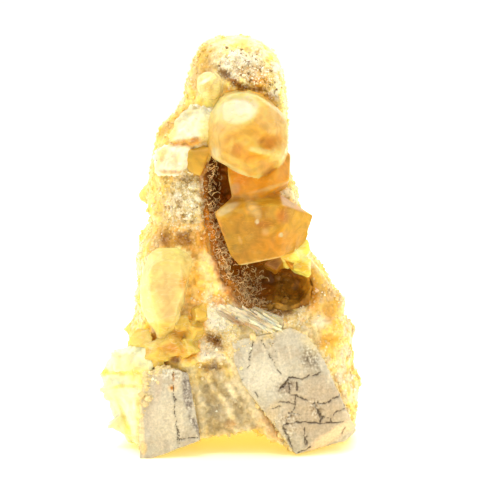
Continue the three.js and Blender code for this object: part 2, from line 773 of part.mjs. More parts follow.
// Thin laths that lie across the sill of the hollow
const BLADES = [
  { from: [0.6, -15.8, 32.6], to: [7.4, -17.0, 28.2], width: 2.4, thickness: 1.0 },
  { from: [0.2, -16.0, 30.6], to: [6.4, -17.2, 27.4], width: 2.2, thickness: 1.0 },
  { from: [4.6, -14.8, 32.2], to: [12.2, -15.6, 29.4], width: 2.4, thickness: 1.0 },
  { from: [2.4, -15.2, 32.2], to: [9.8, -16.2, 28.8], width: 2.0, thickness: 0.9 },
];

function bladedCrystals() {
  return grownTogether([...BLADES.map(blade), bladeRoot()]);
}

function blade({ from, to, width, thickness }) {
  const [start, end] = [new THREE.Vector3(...from), new THREE.Vector3(...to)];
  const along = end.clone().sub(start);
  const across = new THREE.Vector3(0, -0.5, 1).cross(along).cross(along).normalize();
  const through = along.clone().cross(across).normalize();
  const place = (share, side, face) =>
    start
      .clone()
      .addScaledVector(along, share)
      .addScaledVector(across, side * width)
      .addScaledVector(through, face * thickness)
      .toArray();
  const ends = [0.1, 0.92].flatMap((share) =>
    [-0.5, 0.5].flatMap((side) => [-0.4, 0.4].map((face) => place(share, side, face))),
  );
  return crystal([place(0, 0, -0.4), place(0, 0, 0.4), place(1, 0.1, 0), ...ends]);
}

// The foot under the laths, from which they spread
function bladeRoot() {
  return crystal([
    [1.2, -15.4, 31.2],
    [5.4, -15.9, 29.2],
    [10.4, -15.2, 29.6],
    [6.0, -14.6, 31.4],
    [4.0, -13.0, 30.0],
    [9.0, -13.0, 29.4],
  ]);
}

function yellowCrystalsRight() {
  const teeth = [
    { at: [13.8, -11.0, 43.8], size: 1.8, along: [0.2, -0.8, 0.5], turn: 15 },
    { at: [15.4, -9.8, 44.6], size: 1.7, along: [0.4, -0.4, 0.8], turn: 60 },
    { at: [16.0, -10.0, 41.4], size: 1.8, along: [0.4, -0.8, -0.3], turn: 30 },
  ];
  return grownTogether(
    teeth.map((tooth) => placedCrystal(STEEP_CRYSTAL, { ...tooth, stretch: 1.3 })),
  );
}

// Two blunt crystals that hang from the roof of the hollow
function roofCrystals() {
  return grownTogether([
    placedCrystal(RHOMBOHEDRON, { at: [10.0, -11.4, 42.0], size: 1.6, along: [0.2, -0.7, -0.6] }),
    placedCrystal(STEEP_CRYSTAL, { at: [12.6, -11.0, 42.6], size: 1.6, along: [0.4, -0.8, -0.3] }),
  ]);
}

// Assembly

// In the order in which they claim their space
const GROWN = [
  ["honey_crystal_upper", honeyCrystalUpper()],
  ["honey_crystals_lower", honeyCrystalsLower()],
  ["limestone_left", limestoneLeft()],
  ["limestone_right", limestoneRight()],
  ["pale_crystal", paleCrystal()],
  ["yellow_crystals_left", yellowCrystalsLeft()],
  ["amber_crystals", amberCrystals()],
  ["shoulder_crystal_upper", shoulderCrystalUpper()],
  ["shoulder_crystal_lower", shoulderCrystalLower()],
  ["wedge_crystal", wedgeCrystal()],
  ["round_crystal", roundCrystal()],
  ["bladed_crystals", bladedCrystals()],
  ["yellow_crystals_right", yellowCrystalsRight()],
  ["roof_crystals", roofCrystals()],
];
const rooms = GROWN.map(([, piece]) => piece.room);

// Each piece without the space that earlier ones have claimed
const fittedPieces = GROWN.map(([name, piece], place) => {
  const claimed = rooms.slice(0, place);
  return [name, mainBody(claimed.reduce((body, room) => body.subtract(room), piece.solid))];
});

const LOOKS = {
  honey: { color: 0xe8a53a, roughness: 0.18 },
  pale: { color: 0xf6dd8e, roughness: 0.25 },
  yellow: { color: 0xf4e16a, roughness: 0.3 },
  amber: { color: 0xe9a945, roughness: 0.3 },
  white: { color: 0xf6efd8, roughness: 0.4 },
  clear: { color: 0xe6dcb8, roughness: 0.2 },
  limestone: { color: 0xcfc4ae, roughness: 0.9 },
  calcite: { color: 0xeadb9c, roughness: 0.5 },
  crust: { color: 0x6e3f12, roughness: 0.6 },
};

const NODE_LOOKS = {
  honey_crystal_upper: LOOKS.honey,
  honey_crystals_lower: LOOKS.honey,
  limestone_left: LOOKS.limestone,
  limestone_right: LOOKS.limestone,
  pale_crystal: LOOKS.pale,
  yellow_crystals_left: LOOKS.yellow,
  amber_crystals: LOOKS.amber,
  shoulder_crystal_upper: LOOKS.white,
  shoulder_crystal_lower: LOOKS.white,
  wedge_crystal: LOOKS.amber,
  round_crystal: LOOKS.pale,
  bladed_crystals: LOOKS.clear,
  yellow_crystals_right: LOOKS.yellow,
  roof_crystals: LOOKS.amber,
  calcite_matrix: LOOKS.calcite,
  hollow_crust: LOOKS.crust,
};

const pieces = [
  ...fittedPieces,
  ["calcite_matrix", calciteMatrix(rooms)],
  ["hollow_crust", hollowCrust(rooms)],
];

// The origin is the middle of the specimen's bounding box, at its foot
const boxes = pieces.map(([, solid]) => solid.boundingBox());
const offset = [0, 1].map((axis) => {
  const low = Math.min(...boxes.map((box) => box.min[axis]));
  const high = Math.max(...boxes.map((box) => box.max[axis]));
  return -(low + high) / 2;
});

const specimen = new THREE.Group();
for (const [name, solid] of pieces) {
  const look = NODE_LOOKS[name];
  const mesh = new THREE.Mesh(
    geometryOf(solid.translate([...offset, 0])),
    new THREE.MeshStandardMaterial({ ...look, metalness: 0, flatShading: true }),
  );
  mesh.name = name;
  specimen.add(mesh);
}

export default specimen;
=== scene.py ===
# %% [markdown]
# # Dressing a calcite specimen
# The specimen is a lump of calcite about 91 mm high. Two broken pieces of grey limestone are its feet,
# sparry calcite cements them together and rises as a tower, and honey, white and yellow crystals sit
# on the tower round a brown hollow. The plain solids of all of these are packed already. This lesson
# loads them and gives each one its broken, grown or crystal surface.
# %% Load the solids
import math
import bmesh
import bpy
import numpy as np
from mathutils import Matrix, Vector, noise
from mathutils.bvhtree import BVHTree


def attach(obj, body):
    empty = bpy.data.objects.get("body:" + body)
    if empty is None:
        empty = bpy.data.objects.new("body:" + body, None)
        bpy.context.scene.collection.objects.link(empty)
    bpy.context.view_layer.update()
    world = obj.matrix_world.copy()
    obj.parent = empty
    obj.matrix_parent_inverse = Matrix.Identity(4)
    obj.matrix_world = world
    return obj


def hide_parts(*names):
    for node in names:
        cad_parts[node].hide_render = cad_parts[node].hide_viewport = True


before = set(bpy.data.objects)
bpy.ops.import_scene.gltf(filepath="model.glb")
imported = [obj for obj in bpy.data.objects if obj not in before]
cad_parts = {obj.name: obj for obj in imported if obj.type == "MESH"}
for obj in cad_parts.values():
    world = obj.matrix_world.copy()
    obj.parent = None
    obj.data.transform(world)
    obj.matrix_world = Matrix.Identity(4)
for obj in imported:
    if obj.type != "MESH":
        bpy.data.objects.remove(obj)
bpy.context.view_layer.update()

MM = 0.001

# %% [markdown]
# ## The view
# The stone is photographed from straight in front and 8 degrees above, from far off with a long lens,
# so that its upright edges stay upright. The camera is placed on a line through the middle of the stone.
# %% Place the camera
VIEW_HEIGHT_ANGLE = 8.0
VIEW_DISTANCE = 450 * MM
VIEW_TARGET = Vector((4.36 * MM, 0.67 * MM, 43.4 * MM))
SENSOR_WIDTH, LENS_LENGTH = 36, 144
NEAREST_SEEN = 10 * MM

camera_data = bpy.data.cameras.new("camera")
camera_data.sensor_width = SENSOR_WIDTH
camera_data.lens = LENS_LENGTH
camera_data.clip_start = NEAREST_SEEN
camera = bpy.data.objects.new("camera", camera_data)
bpy.context.scene.collection.objects.link(camera)
angle = math.radians(VIEW_HEIGHT_ANGLE)
camera.location = VIEW_TARGET + VIEW_DISTANCE * Vector((0, -math.cos(angle), math.sin(angle)))
camera.rotation_euler = (math.radians(90 - VIEW_HEIGHT_ANGLE), 0, 0)
bpy.context.scene.camera = camera
print("camera at", [round(v, 4) for v in camera.location])

# %% [markdown]
# ## The light table
# A specimen like this is shot on a white table with white light all round, so that the clear calcite
# glows at its edges. Only round the camera the white is dimmer, which keeps the colours of the front
# deep. A soft lamp above gives the crystal faces their white glints, and one behind shines through the
# thin edges. The table glows a warm yellow itself, as it does where light comes down through the stone,
# so no dark shadow forms under the feet.
# %% Helpers that add shader and geometry nodes
def put(tree, kind, inputs=None, **settings):
    """Adds one node, sets or links its inputs by name or number, and returns it."""
    made = tree.nodes.new(kind)
    for key, value in settings.items():
        setattr(made, key, value)
    for key, value in (inputs or {}).items():
        socket = made.inputs[key]
        if isinstance(value, bpy.types.NodeSocket):
            tree.links.new(value, socket)
        else:
            socket.default_value = value
    return made


def reckoned(tree, operation, first, second=0.0):
    """What a math node works out from one or two values."""
    return put(tree, "ShaderNodeMath", {0: first, 1: second}, operation=operation).outputs[0]


def scaled(tree, vector, share):
    """A direction or a colour, made that many times as large."""
    return put(tree, "ShaderNodeVectorMath", {0: vector, "Scale": share}, operation="SCALE").outputs[0]


def screen(red, green, blue):
    """A colour as a screen shows it, 0 to 255, turned into the linear values that light works in."""
    linear = []
    for value in (red, green, blue):
        share = value / 255
        linear.append(share / 12.92 if share < 0.04045 else ((share + 0.055) / 1.055) ** 2.4)
    return (*linear, 1.0)


# %% White surroundings, dimmer round the camera
DIM_SIDE, BRIGHT_SIDE = 0.62, 1.2

bpy.context.scene.view_settings.view_transform = "Standard"
world = bpy.data.worlds.new("white surroundings")
bpy.context.scene.world = world
world.use_nodes = True
world.node_tree.nodes["Background"].inputs["Color"].default_value = (1.0, 1.0, 1.0, 1.0)
direction = put(world.node_tree, "ShaderNodeTexCoord").outputs["Generated"]
backward = put(world.node_tree, "ShaderNodeSeparateXYZ", {0: direction}).outputs["Y"]
brightness = put(world.node_tree, "ShaderNodeMapRange", {
    "Value": backward, "From Min": -0.9, "From Max": 0.1, "To Min": DIM_SIDE, "To Max": BRIGHT_SIDE,
}).outputs[0]
world.node_tree.links.new(brightness, world.node_tree.nodes["Background"].inputs["Strength"])
print("surroundings from", DIM_SIDE, "to", BRIGHT_SIDE)


# %% Two soft lamps
def soft_lamp(name, place, size, watts, colour=(1.0, 1.0, 1.0)):
    """A square lamp that faces the middle of the stone."""
    data = bpy.data.lights.new(name, "AREA")
    data.size = size
    data.energy = watts
    data.color = colour
    lamp = bpy.data.objects.new(name, data)
    bpy.context.scene.collection.objects.link(lamp)
    lamp.location = place
    lamp.rotation_euler = (VIEW_TARGET - Vector(place)).to_track_quat("-Z", "Y").to_euler()
    lamp.visible_camera = False
    return lamp


soft_lamp("overhead lamp", (-0.12, -0.16, 0.55), size=0.30, watts=1.7)
back_lamp = soft_lamp("back lamp", (0.06, 0.42, 0.34), size=0.40, watts=3.4, colour=(1.0, 0.97, 0.90))
back_lamp.visible_glossy = False  # it lights the thin edges, but no facet mirrors it

# %% The table
TABLE_HALF = 25.0
TABLE_WHITE = (0.93, 0.92, 0.88, 1.0)
TABLE_GLOW, GLOW_STRENGTH = (1.0, 0.74, 0.14, 1.0), 0.5

table_mesh = bpy.data.meshes.new("table")
table_corners = [(x * TABLE_HALF, y * TABLE_HALF, 0) for x, y in ((-1, -1), (1, -1), (1, 1), (-1, 1))]
table_mesh.from_pydata(table_corners, [], [(0, 1, 2, 3)])
table = bpy.data.objects.new("table", table_mesh)
bpy.context.scene.collection.objects.link(table)
table_finish = bpy.data.materials.new("white table")
table_finish.use_nodes = True
table_shader = table_finish.node_tree.nodes["Principled BSDF"]
table_shader.inputs["Base Color"].default_value = TABLE_WHITE
table_shader.inputs["Roughness"].default_value = 0.9
table_shader.inputs["Emission Color"].default_value = TABLE_GLOW
table_shader.inputs["Emission Strength"].default_value = GLOW_STRENGTH
table_mesh.materials.append(table_finish)
print("table:", 2 * TABLE_HALF, "m wide")

# %% [markdown]
# ## From solid to surface
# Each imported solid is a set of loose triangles, so a copy is joined up at its corners before anything
# grows from it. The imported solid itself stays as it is, because the frame must not change.
# %% Copies of the solids, and modifiers turned into plain meshes
SAME_PLACE = 2e-6  # corners nearer to each other than this, in metres, are one


def joined_copy(node, name):
    """A new object with the joined-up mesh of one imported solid."""
    shape = bmesh.new()
    shape.from_mesh(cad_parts[node].data)
    bmesh.ops.remove_doubles(shape, verts=shape.verts, dist=SAME_PLACE)
    mesh = bpy.data.meshes.new(name)
    shape.to_mesh(mesh)
    shape.free()
    copy = bpy.data.objects.new(name, mesh)
    bpy.context.scene.collection.objects.link(copy)
    return copy


def settle(piece):
    """Turns what the modifiers make into the piece's own mesh, and removes them."""
    graph = bpy.context.evaluated_depsgraph_get()
    graph.update()
    made = bpy.data.meshes.new_from_object(
        piece.evaluated_get(graph), preserve_all_data_layers=True, depsgraph=graph
    )
    piece.modifiers.clear()
    piece.data = made
    return piece


def triangles(piece):
    """How many triangles the piece's faces make."""
    return sum(len(face.vertices) - 2 for face in piece.data.polygons)


def even_net(piece, cell):
    """The piece as an even net of squares that many millimetres wide. Parts that overlap fuse."""
    net = piece.modifiers.new("even net", "REMESH")
    net.mode = "VOXEL"
    net.voxel_size = cell * MM
    net.adaptivity = 0
    net.use_smooth_shade = True
    return settle(piece)


def remeshed(node, name, cell):
    """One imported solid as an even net."""
    return even_net(joined_copy(node, name), cell)


# %% [markdown]
# ## A rough surface
# Broken stone and grown calcite are rough at three sizes at once: swells as wide as a pea, facets as
# wide as a grain of rice, and grains like sugar. Sculpting them would take a day. A small Geometry
# Nodes tree moves every point along its normal by three textures instead. The facets come from a
# cellular texture, whose cells are pointed in the middle like crystals that stand side by side.
# %% The tree that roughens a surface
LAYERS = ("Swell", "Facet", "Grain")
FACET_LEVEL = 0.7  # how far from its middle a cell neither rises nor sinks


def roughen_tree():
    """Moves each point along its normal by the sum of the layers, as far as its rough value says."""
    tree = bpy.data.node_groups.new("roughen", "GeometryNodeTree")
    tree.interface.new_socket("Geometry", in_out="INPUT", socket_type="NodeSocketGeometry")
    tree.interface.new_socket("Geometry", in_out="OUTPUT", socket_type="NodeSocketGeometry")
    for layer in LAYERS:
        for measure in ("Size", "Height"):
            tree.interface.new_socket(f"{layer} {measure}", in_out="INPUT", socket_type="NodeSocketFloat")
    inside = put(tree, "NodeGroupInput")
    outside = put(tree, "NodeGroupOutput")
    place = put(tree, "GeometryNodeInputPosition").outputs[0]
    share = put(tree, "GeometryNodeInputNamedAttribute", {"Name": "rough"}).outputs["Attribute"]
    total = None
    for layer in LAYERS:
        size, height = inside.outputs[f"{layer} Size"], inside.outputs[f"{layer} Height"]
        where = scaled(tree, place, reckoned(tree, "DIVIDE", 1 / MM, size))
        if layer == "Facet":
            cells = put(tree, "ShaderNodeTexVoronoi", {"Vector": where, "Scale": 1.0}, distance="MANHATTAN")
            level = reckoned(tree, "SUBTRACT", FACET_LEVEL, cells.outputs["Distance"])
        else:
            lumps = put(tree, "ShaderNodeTexNoise", {"Vector": where, "Scale": 1.0, "Detail": 3.0})
            level = reckoned(tree, "SUBTRACT", lumps.outputs[0], 0.5)
        move = reckoned(tree, "MULTIPLY", level, height)
        total = move if total is None else reckoned(tree, "ADD", total, move)
    total = reckoned(tree, "MULTIPLY", reckoned(tree, "MULTIPLY", total, share), MM)
    offset = scaled(tree, put(tree, "GeometryNodeInputNormal").outputs[0], total)
    moved = put(tree, "GeometryNodeSetPosition", {"Geometry": inside.outputs["Geometry"], "Offset": offset})
    tree.links.new(moved.outputs[0], outside.inputs["Geometry"])
    return tree


def set_inputs(modifier, values):
    """Sets a modifier's inputs by the names that its tree gives them."""
    for item in modifier.node_group.interface.items_tree:
        if item.item_type == "SOCKET" and item.in_out == "INPUT" and item.name in values:
            modifier[item.identifier] = values[item.name]


ROUGHEN = roughen_tree()
print("roughen tree:", len(ROUGHEN.nodes), "nodes")


# %% Notes on a piece's points, and a piece roughened
def write(piece, name, values):
    """Stores one number or one colour for each point of a piece."""
    values = np.asarray(values, np.float32)
    kind, slot = ("FLOAT_VECTOR", "vector") if values.ndim == 2 else ("FLOAT", "value")
    old = piece.data.attributes.get(name)
    if old:
        piece.data.attributes.remove(old)
    data = piece.data.attributes.new(name, kind, "POINT").data
    data.foreach_set(slot, values.ravel())


def roughen(piece, share=1.0, **layers):
    """Roughens a piece. A layer is its size and height, and share one number, or one for each point."""
    write(piece, "rough", np.broadcast_to(np.asarray(share, float), len(piece.data.vertices)))
    modifier = piece.modifiers.new("roughen", "NODES")
    modifier.node_group = ROUGHEN
    for layer, (size, height) in layers.items():
        name = layer.title()
        set_inputs(modifier, {f"{name} Size": float(size), f"{name} Height": float(height)})
    return settle(piece)


# %% [markdown]
# ## Painting by place
# The stone's colours lie in patches: lemon at the thin edges, partly its own colour and partly a painted
# glow of the light that comes through, cream in front, rust beside the hollow, grey limestone below. A patch
# is an oval on the front with a ragged rim. Each point of a mesh gets the colour of the patches that it is
# in, as an attribute that the material reads, so that a grain of sugar-like calcite that grows from the
# point can take the same colour.
# %% A piece's points
def points_of(piece):
    """The piece's points in millimetres, one row each."""
    points = np.empty(len(piece.data.vertices) * 3, np.float32)
    piece.data.vertices.foreach_get("co", points)
    return points.reshape(-1, 3).astype(float) / MM


def normals_of(piece):
    """Which way the surface faces at each point."""
    normals = np.empty(len(piece.data.vertices) * 3, np.float32)
    piece.data.vertices.foreach_get("normal", normals)
    return normals.reshape(-1, 3).astype(float)


def move_to(piece, points):
    """Puts the piece's points at these places in millimetres, and none of them under the table."""
    points[:, 2] = np.maximum(points[:, 2], 0)
    piece.data.vertices.foreach_set("co", (points * MM).astype(np.float32).ravel())
    piece.data.update()


# %% Noise, ramps and oval patches with a ragged rim
def flutter(points, size, seed=0.0):
    """Smooth noise from -1 to 1 that changes over that many millimetres."""
    shift = Vector((seed * 13.7, seed * 7.3, seed * 3.1))
    return np.array([noise.noise(Vector(p) / size + shift) for p in points])


def ramp(value, start, end):
    """0 before the start and 1 past the end, with a smooth rise or fall between."""
    share = np.clip((value - start) / (end - start), 0, 1)
    return share * share * (3 - 2 * share)


def patch(points, centre, half_size, turn=0.0, soft=0.45, rag=0.35, rag_size=2.2):
    """How far each point is in an oval patch of the front, 0 outside to 1 inside."""
    x, z = points[:, 0] - centre[0], points[:, 2] - centre[1]
    along, across = math.cos(math.radians(turn)), math.sin(math.radians(turn))
    u, w = (x * along + z * across) / half_size[0], (z * along - x * across) / half_size[1]
    distance = np.hypot(u, w)
    near = distance < 2.5
    distance[near] += rag * flutter(points[near], rag_size, centre[0])
    return 1 - ramp(distance, 1 - soft, 1 + soft)


def in_any(points, places, **rim):
    """How far each point is in the nearest of several oval patches."""
    return np.max([patch(points, *place, **rim) for place in places], axis=0)


# %% Mixing and painting colours
def blend(base, colour, share):
    """The base colour, or colours, with that share of another one."""
    share = np.clip(np.asarray(share, float), 0, 1)[..., None]
    return base * (1 - share) + np.asarray(colour, float)[..., :3] * share


def all_over(points, colour):
    """The same colour for each point."""
    return np.tile(np.array(colour[:3]), (len(points), 1))


def paint(points, base, patches, in_front=1.0):
    """One colour all over, then patch after patch: where, half size, turn, colour, strength, softness."""
    colours = all_over(points, base) if len(base) <= 4 else base
    for name, centre, half_size, turn, colour, strength, *soft in patches:
        share = patch(points, centre, half_size, turn, *soft)
        colours = blend(colours, colour, strength * in_front * share)
    return colours


# %% [markdown]
# In a crystal's seat the tower is painted in the crystal's colour, a painted glow of the light that comes
# through the crystal, and grains don't grow there. The distance from each point to the nearest solid of a
# kind finds the seats. A search tree over the solids' triangles answers it fast.
# %% How far points are from some of the solids
def search_tree(nodes):
    """A search tree over the triangles of these solids, in millimetres."""
    corners, faces = [], []
    for node in nodes:
        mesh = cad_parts[node].data
        start = len(corners)
        corners += [v.co / MM for v in mesh.vertices]
        faces += [[start + i for i in face.vertices] for face in mesh.polygons]
    return BVHTree.FromPolygons(corners, faces)


def distance_to(points, nodes):
    """Millimetres from each point to the nearest of these solids."""
    search = search_tree(nodes)
    return np.array([search.find_nearest(Vector(p))[3] for p in points])


def close_gap(piece, nodes, reach=1.0, sink=0.12):
    """Draws the points that are near these solids onto them, so that no dark gap shows between."""
    points = points_of(piece)
    search = search_tree(nodes)
    found = [search.find_nearest(Vector(p)) for p in points]
    there = np.array([hit[0] for hit in found])
    gap = np.array([hit[3] for hit in found])
    toward = (there - points) / np.maximum(gap, 1e-6)[:, None]
    pull = (1 - ramp(gap, 0.45 * reach, reach)) * (gap + sink)
    move_to(piece, points + toward * pull[:, None])


HONEY_NODES = ("honey_crystal_upper", "honey_crystals_lower", "amber_crystals", "wedge_crystal")
STONE_NODES = ("limestone_left", "limestone_right")
GROUND_NODES = ("calcite_matrix", "hollow_crust")
CRYSTAL_NODES = [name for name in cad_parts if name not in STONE_NODES + GROUND_NODES]
print("crystals to seat:", CRYSTAL_NODES)

# %% [markdown]
# The light comes through the stone at its left and right edges, and the grains there look soft. The
# stone is wide at its foot and narrow at its neck, so how near its edge a point is depends on the
# width at its own height.
# %% How near the side, and the front, of the stone a point is
def side_share(points, slabs=40):
    """0 at the middle of the stone's width and 1 at its left and right edges, at each height."""
    heights = np.linspace(points[:, 2].min(), points[:, 2].max(), slabs)
    step = heights[1] - heights[0]
    middle, half = [], []
    for height in heights:
        x = points[np.abs(points[:, 2] - height) < step * 1.2][:, 0]
        left, right = np.percentile(x, [1, 99])
        middle.append((left + right) / 2)
        half.append((right - left) / 2)
    centre = np.interp(points[:, 2], heights, middle)
    return np.abs(points[:, 0] - centre) / np.interp(points[:, 2], heights, half)


def front_share(points):
    """1 on the front of the stone and 0 from its middle to its back."""
    return 1 - ramp(points[:, 1], -8.2, -3.2)


# %% [markdown]
# ## Crystals that stand on a surface
# Small crystals cover the stone, all of one kind and each turned its own way. One shape is made once,
# and Geometry Nodes set thousands of copies on a surface, each with its own size and lean. The copies
# are made real at the end of the tree, because an export leaves instances out.
# %% Shapes of the small crystals
def hull_mesh(name, corners):
    """A closed convex crystal through these corners, with flat faces."""
    shape = bmesh.new()
    for corner in corners:
        shape.verts.new(corner)
    made = bmesh.ops.convex_hull(shape, input=shape.verts)
    inner = [v for v in made["geom_interior"] if isinstance(v, bmesh.types.BMVert)]
    bmesh.ops.delete(shape, geom=inner, context="VERTS")
    bmesh.ops.recalc_face_normals(shape, faces=shape.faces)
    mesh = bpy.data.meshes.new(name)
    shape.to_mesh(mesh)
    shape.free()
    return mesh


def ring(radius, height, count, turn=0.0):
    """Corners evenly round a level circle."""
    steps = [2 * math.pi * i / count + turn for i in range(count)]
    return [(radius * math.cos(a), radius * math.sin(a), height) for a in steps]


def crystal_group(name, shapes):
    """A collection of crystal shapes, from which the scatter picks."""
    group = bpy.data.collections.new(name)
    for i, corners in enumerate(shapes):
        group.objects.link(bpy.data.objects.new(f"{name}_{i}", hull_mesh(f"{name}_{i}", corners)))
    return group


BLOCKS = crystal_group("blocks", [
    ring(0.5, -0.45, 4) + ring(0.62, 0.1, 5, 0.5) + ring(0.36, 0.5, 4, 0.2) + [(0.05, 0, 0.66)],
    ring(0.45, -0.5, 4) + ring(0.58, 0.2, 5, 0.3) + ring(0.3, 0.6, 3, 0.7),
])
TEETH = crystal_group("teeth", [
    ring(0.42, -0.4, 3) + ring(0.5, 0.1, 3, 0.9) + [(0.05, 0, 1.0)],
    ring(0.36, -0.4, 4) + ring(0.44, 0.3, 4, 0.5) + [(0, 0.06, 0.85)],
])
SUGAR = crystal_group("sugar", [
    ring(0.4, -0.3, 4) + ring(0.5, 0.12, 4, 0.6) + [(0.05, 0, 0.45)],
    ring(0.42, -0.3, 3) + ring(0.52, 0.15, 4, 0.5) + [(0, 0.1, 0.5)],
])

# %% The tree that grows a druse
RARE = 2.2  # the higher, the fewer crystals are large


def druse_tree():
    """Sets crystals on a surface, each with its own lean and size, most of them small."""
    tree = bpy.data.node_groups.new("druse", "GeometryNodeTree")
    face = tree.interface
    face.new_socket("Geometry", in_out="INPUT", socket_type="NodeSocketGeometry")
    face.new_socket("Crystals", in_out="INPUT", socket_type="NodeSocketCollection")
    for label in ("Spacing", "Smallest", "Largest", "Lean", "Density"):
        face.new_socket(label, in_out="INPUT", socket_type="NodeSocketFloat")
    face.new_socket("Seed", in_out="INPUT", socket_type="NodeSocketInt")
    face.new_socket("Finish", in_out="INPUT", socket_type="NodeSocketMaterial")
    face.new_socket("Geometry", in_out="OUTPUT", socket_type="NodeSocketGeometry")
    inside, outside = put(tree, "NodeGroupInput").outputs, put(tree, "NodeGroupOutput")
    where = put(tree, "GeometryNodeInputNamedAttribute", {"Name": "druse"}).outputs["Attribute"]
    points = put(tree, "GeometryNodeDistributePointsOnFaces", {
        "Mesh": inside["Geometry"], "Distance Min": inside["Spacing"], "Density Max": inside["Density"],
        "Density Factor": where, "Seed": inside["Seed"],
    }, distribute_method="POISSON")
    chance = put(tree, "FunctionNodeRandomValue", {"Seed": inside["Seed"]}, data_type="FLOAT")
    marked = put(tree, "GeometryNodeStoreNamedAttribute", {
        "Geometry": points.outputs["Points"], "Name": "chance", "Value": chance.outputs[1],
    }, data_type="FLOAT", domain="POINT")
    most = put(tree, "ShaderNodeCombineXYZ", {0: inside["Lean"], 1: inside["Lean"], 2: math.pi}).outputs[0]
    least = scaled(tree, most, -1.0)
    lean = put(tree, "FunctionNodeRandomValue", {0: least, 1: most, "Seed": 7}, data_type="FLOAT_VECTOR")
    turn = put(tree, "FunctionNodeEulerToRotation", {0: lean.outputs[0]}).outputs[0]
    stand = put(tree, "FunctionNodeRotateRotation", {
        0: points.outputs["Rotation"], 1: turn,
    }, rotation_space="LOCAL").outputs[0]
    luck = put(tree, "FunctionNodeRandomValue", {"Seed": 3}, data_type="FLOAT").outputs[1]
    rare = reckoned(tree, "POWER", luck, RARE)
    size = put(tree, "ShaderNodeMapRange", {
        "Value": rare, "To Min": inside["Smallest"], "To Max": inside["Largest"],
    }).outputs[0]
    grow = put(tree, "GeometryNodeInputNamedAttribute", {"Name": "growth"}).outputs["Attribute"]
    size = reckoned(tree, "MULTIPLY", size, grow)
    shapes = put(tree, "GeometryNodeCollectionInfo", {
        "Collection": inside["Crystals"], "Separate Children": True, "Reset Children": True,
    }).outputs[0]
    standing = put(tree, "GeometryNodeInstanceOnPoints", {
        "Points": marked.outputs[0], "Instance": shapes, "Pick Instance": True,
        "Rotation": stand, "Scale": size,
    })
    real = put(tree, "GeometryNodeRealizeInstances", {0: standing.outputs[0]})
    flat = put(tree, "GeometryNodeSetShadeSmooth", {0: real.outputs[0], "Shade Smooth": False})
    done = put(tree, "GeometryNodeSetMaterial", {"Geometry": flat.outputs[0], "Material": inside["Finish"]})
    tree.links.new(done.outputs[0], outside.inputs["Geometry"])
    return tree


DRUSE = druse_tree()
print("druse tree:", len(DRUSE.nodes), "nodes")


# %% Small crystals on a piece
def crystals_on(name, ground, where, crystals, spacing, sizes, seed, lean=0.9, growth=1.0, colours=None,
                finish=None, tries=4):
    """A mesh of small crystals on the ground piece, densest where the where values are 1. Tries are the
    places that the scatter tries for each square millimetre, before it keeps their spacing."""
    host = bpy.data.objects.new(name, ground.data.copy())
    bpy.context.scene.collection.objects.link(host)
    write(host, "druse", where)
    write(host, "growth", np.broadcast_to(np.asarray(growth, float), len(host.data.vertices)))
    if colours is not None:
        write(host, "tint", colours)
    modifier = host.modifiers.new("druse", "NODES")
    modifier.node_group = DRUSE
    set_inputs(modifier, {
        "Crystals": crystals, "Spacing": spacing * MM, "Smallest": sizes[0] * MM, "Largest": sizes[1] * MM,
        "Lean": lean, "Density": tries / MM ** 2, "Seed": seed, "Finish": finish,
    })
    return settle(host)


# %% [markdown]
# ## The calcite tower
# The tower is sparry calcite: coarse, half-clear crystals grown into each other, sugary in front and
# bright lemon at the sides, where light comes through. Its solid already has the big lumps. Blocks and
# teeth of calcite are scattered over it, most of them in front. At the sides the solid is first drawn
# in a little, to make room for them. One even net of half-millimetre squares is laid over them all,
# which fuses them as grown crystals are.
# %% Helpers that smooth a net and fuse several pieces
def smoothed(piece, times_smoothed, share=None):
    """Smooths a piece's net that many times, everywhere or where the share is 1."""
    smoother = piece.modifiers.new("melted", "SMOOTH")
    smoother.factor = 0.5
    smoother.iterations = times_smoothed
    if share is not None:
        group = piece.vertex_groups.new(name="soft")
        for i in np.nonzero(share > 0.02)[0]:
            group.add([int(i)], float(share[i]), "REPLACE")
        smoother.vertex_group = "soft"
    return settle(piece)


def fused(pieces, name, cell):
    """One piece from several that overlap, as an even net of squares that size in millimetres."""
    together = bmesh.new()
    for piece in pieces:
        together.from_mesh(piece.data)
        bpy.data.objects.remove(piece)
    mesh = bpy.data.meshes.new(name)
    together.to_mesh(mesh)
    together.free()
    whole = bpy.data.objects.new(name, mesh)
    bpy.context.scene.collection.objects.link(whole)
    return even_net(whole, cell)


# %% Fuse blocks of calcite with the tower
SEATED = CRYSTAL_NODES + list(STONE_NODES)
BARE_CELL, TOWER_CELL = 0.8, 0.53
DRAWN_IN = 0.3

bare_tower = remeshed("calcite_matrix", "bare_tower", BARE_CELL)
spots = points_of(bare_tower)
room = ramp(spots[:, 2], 0.8, 3.0) * ramp(distance_to(spots, SEATED + ["hollow_crust"]), 1.2, 2.6)
beside = np.clip(ramp(side_share(spots), 0.5, 0.8) + ramp(spots[:, 1], -6, 0), 0, 1)
move_to(bare_tower, spots - (DRAWN_IN * room * beside)[:, None] * normals_of(bare_tower))
blocks = crystals_on("blocks_of_the_tower", bare_tower, room * (0.3 - 0.2 * beside), BLOCKS,
                     spacing=2.4, sizes=(1.2, 3.3), seed=23)
teeth = crystals_on("teeth_of_the_tower", bare_tower, room * (1 - 0.85 * beside), TEETH,
                    spacing=1.8, sizes=(0.9, 2.0), seed=27)
tower = fused([bare_tower, blocks, teeth], "calcite_tower", TOWER_CELL)
print("fused tower:", triangles(tower), "triangles")

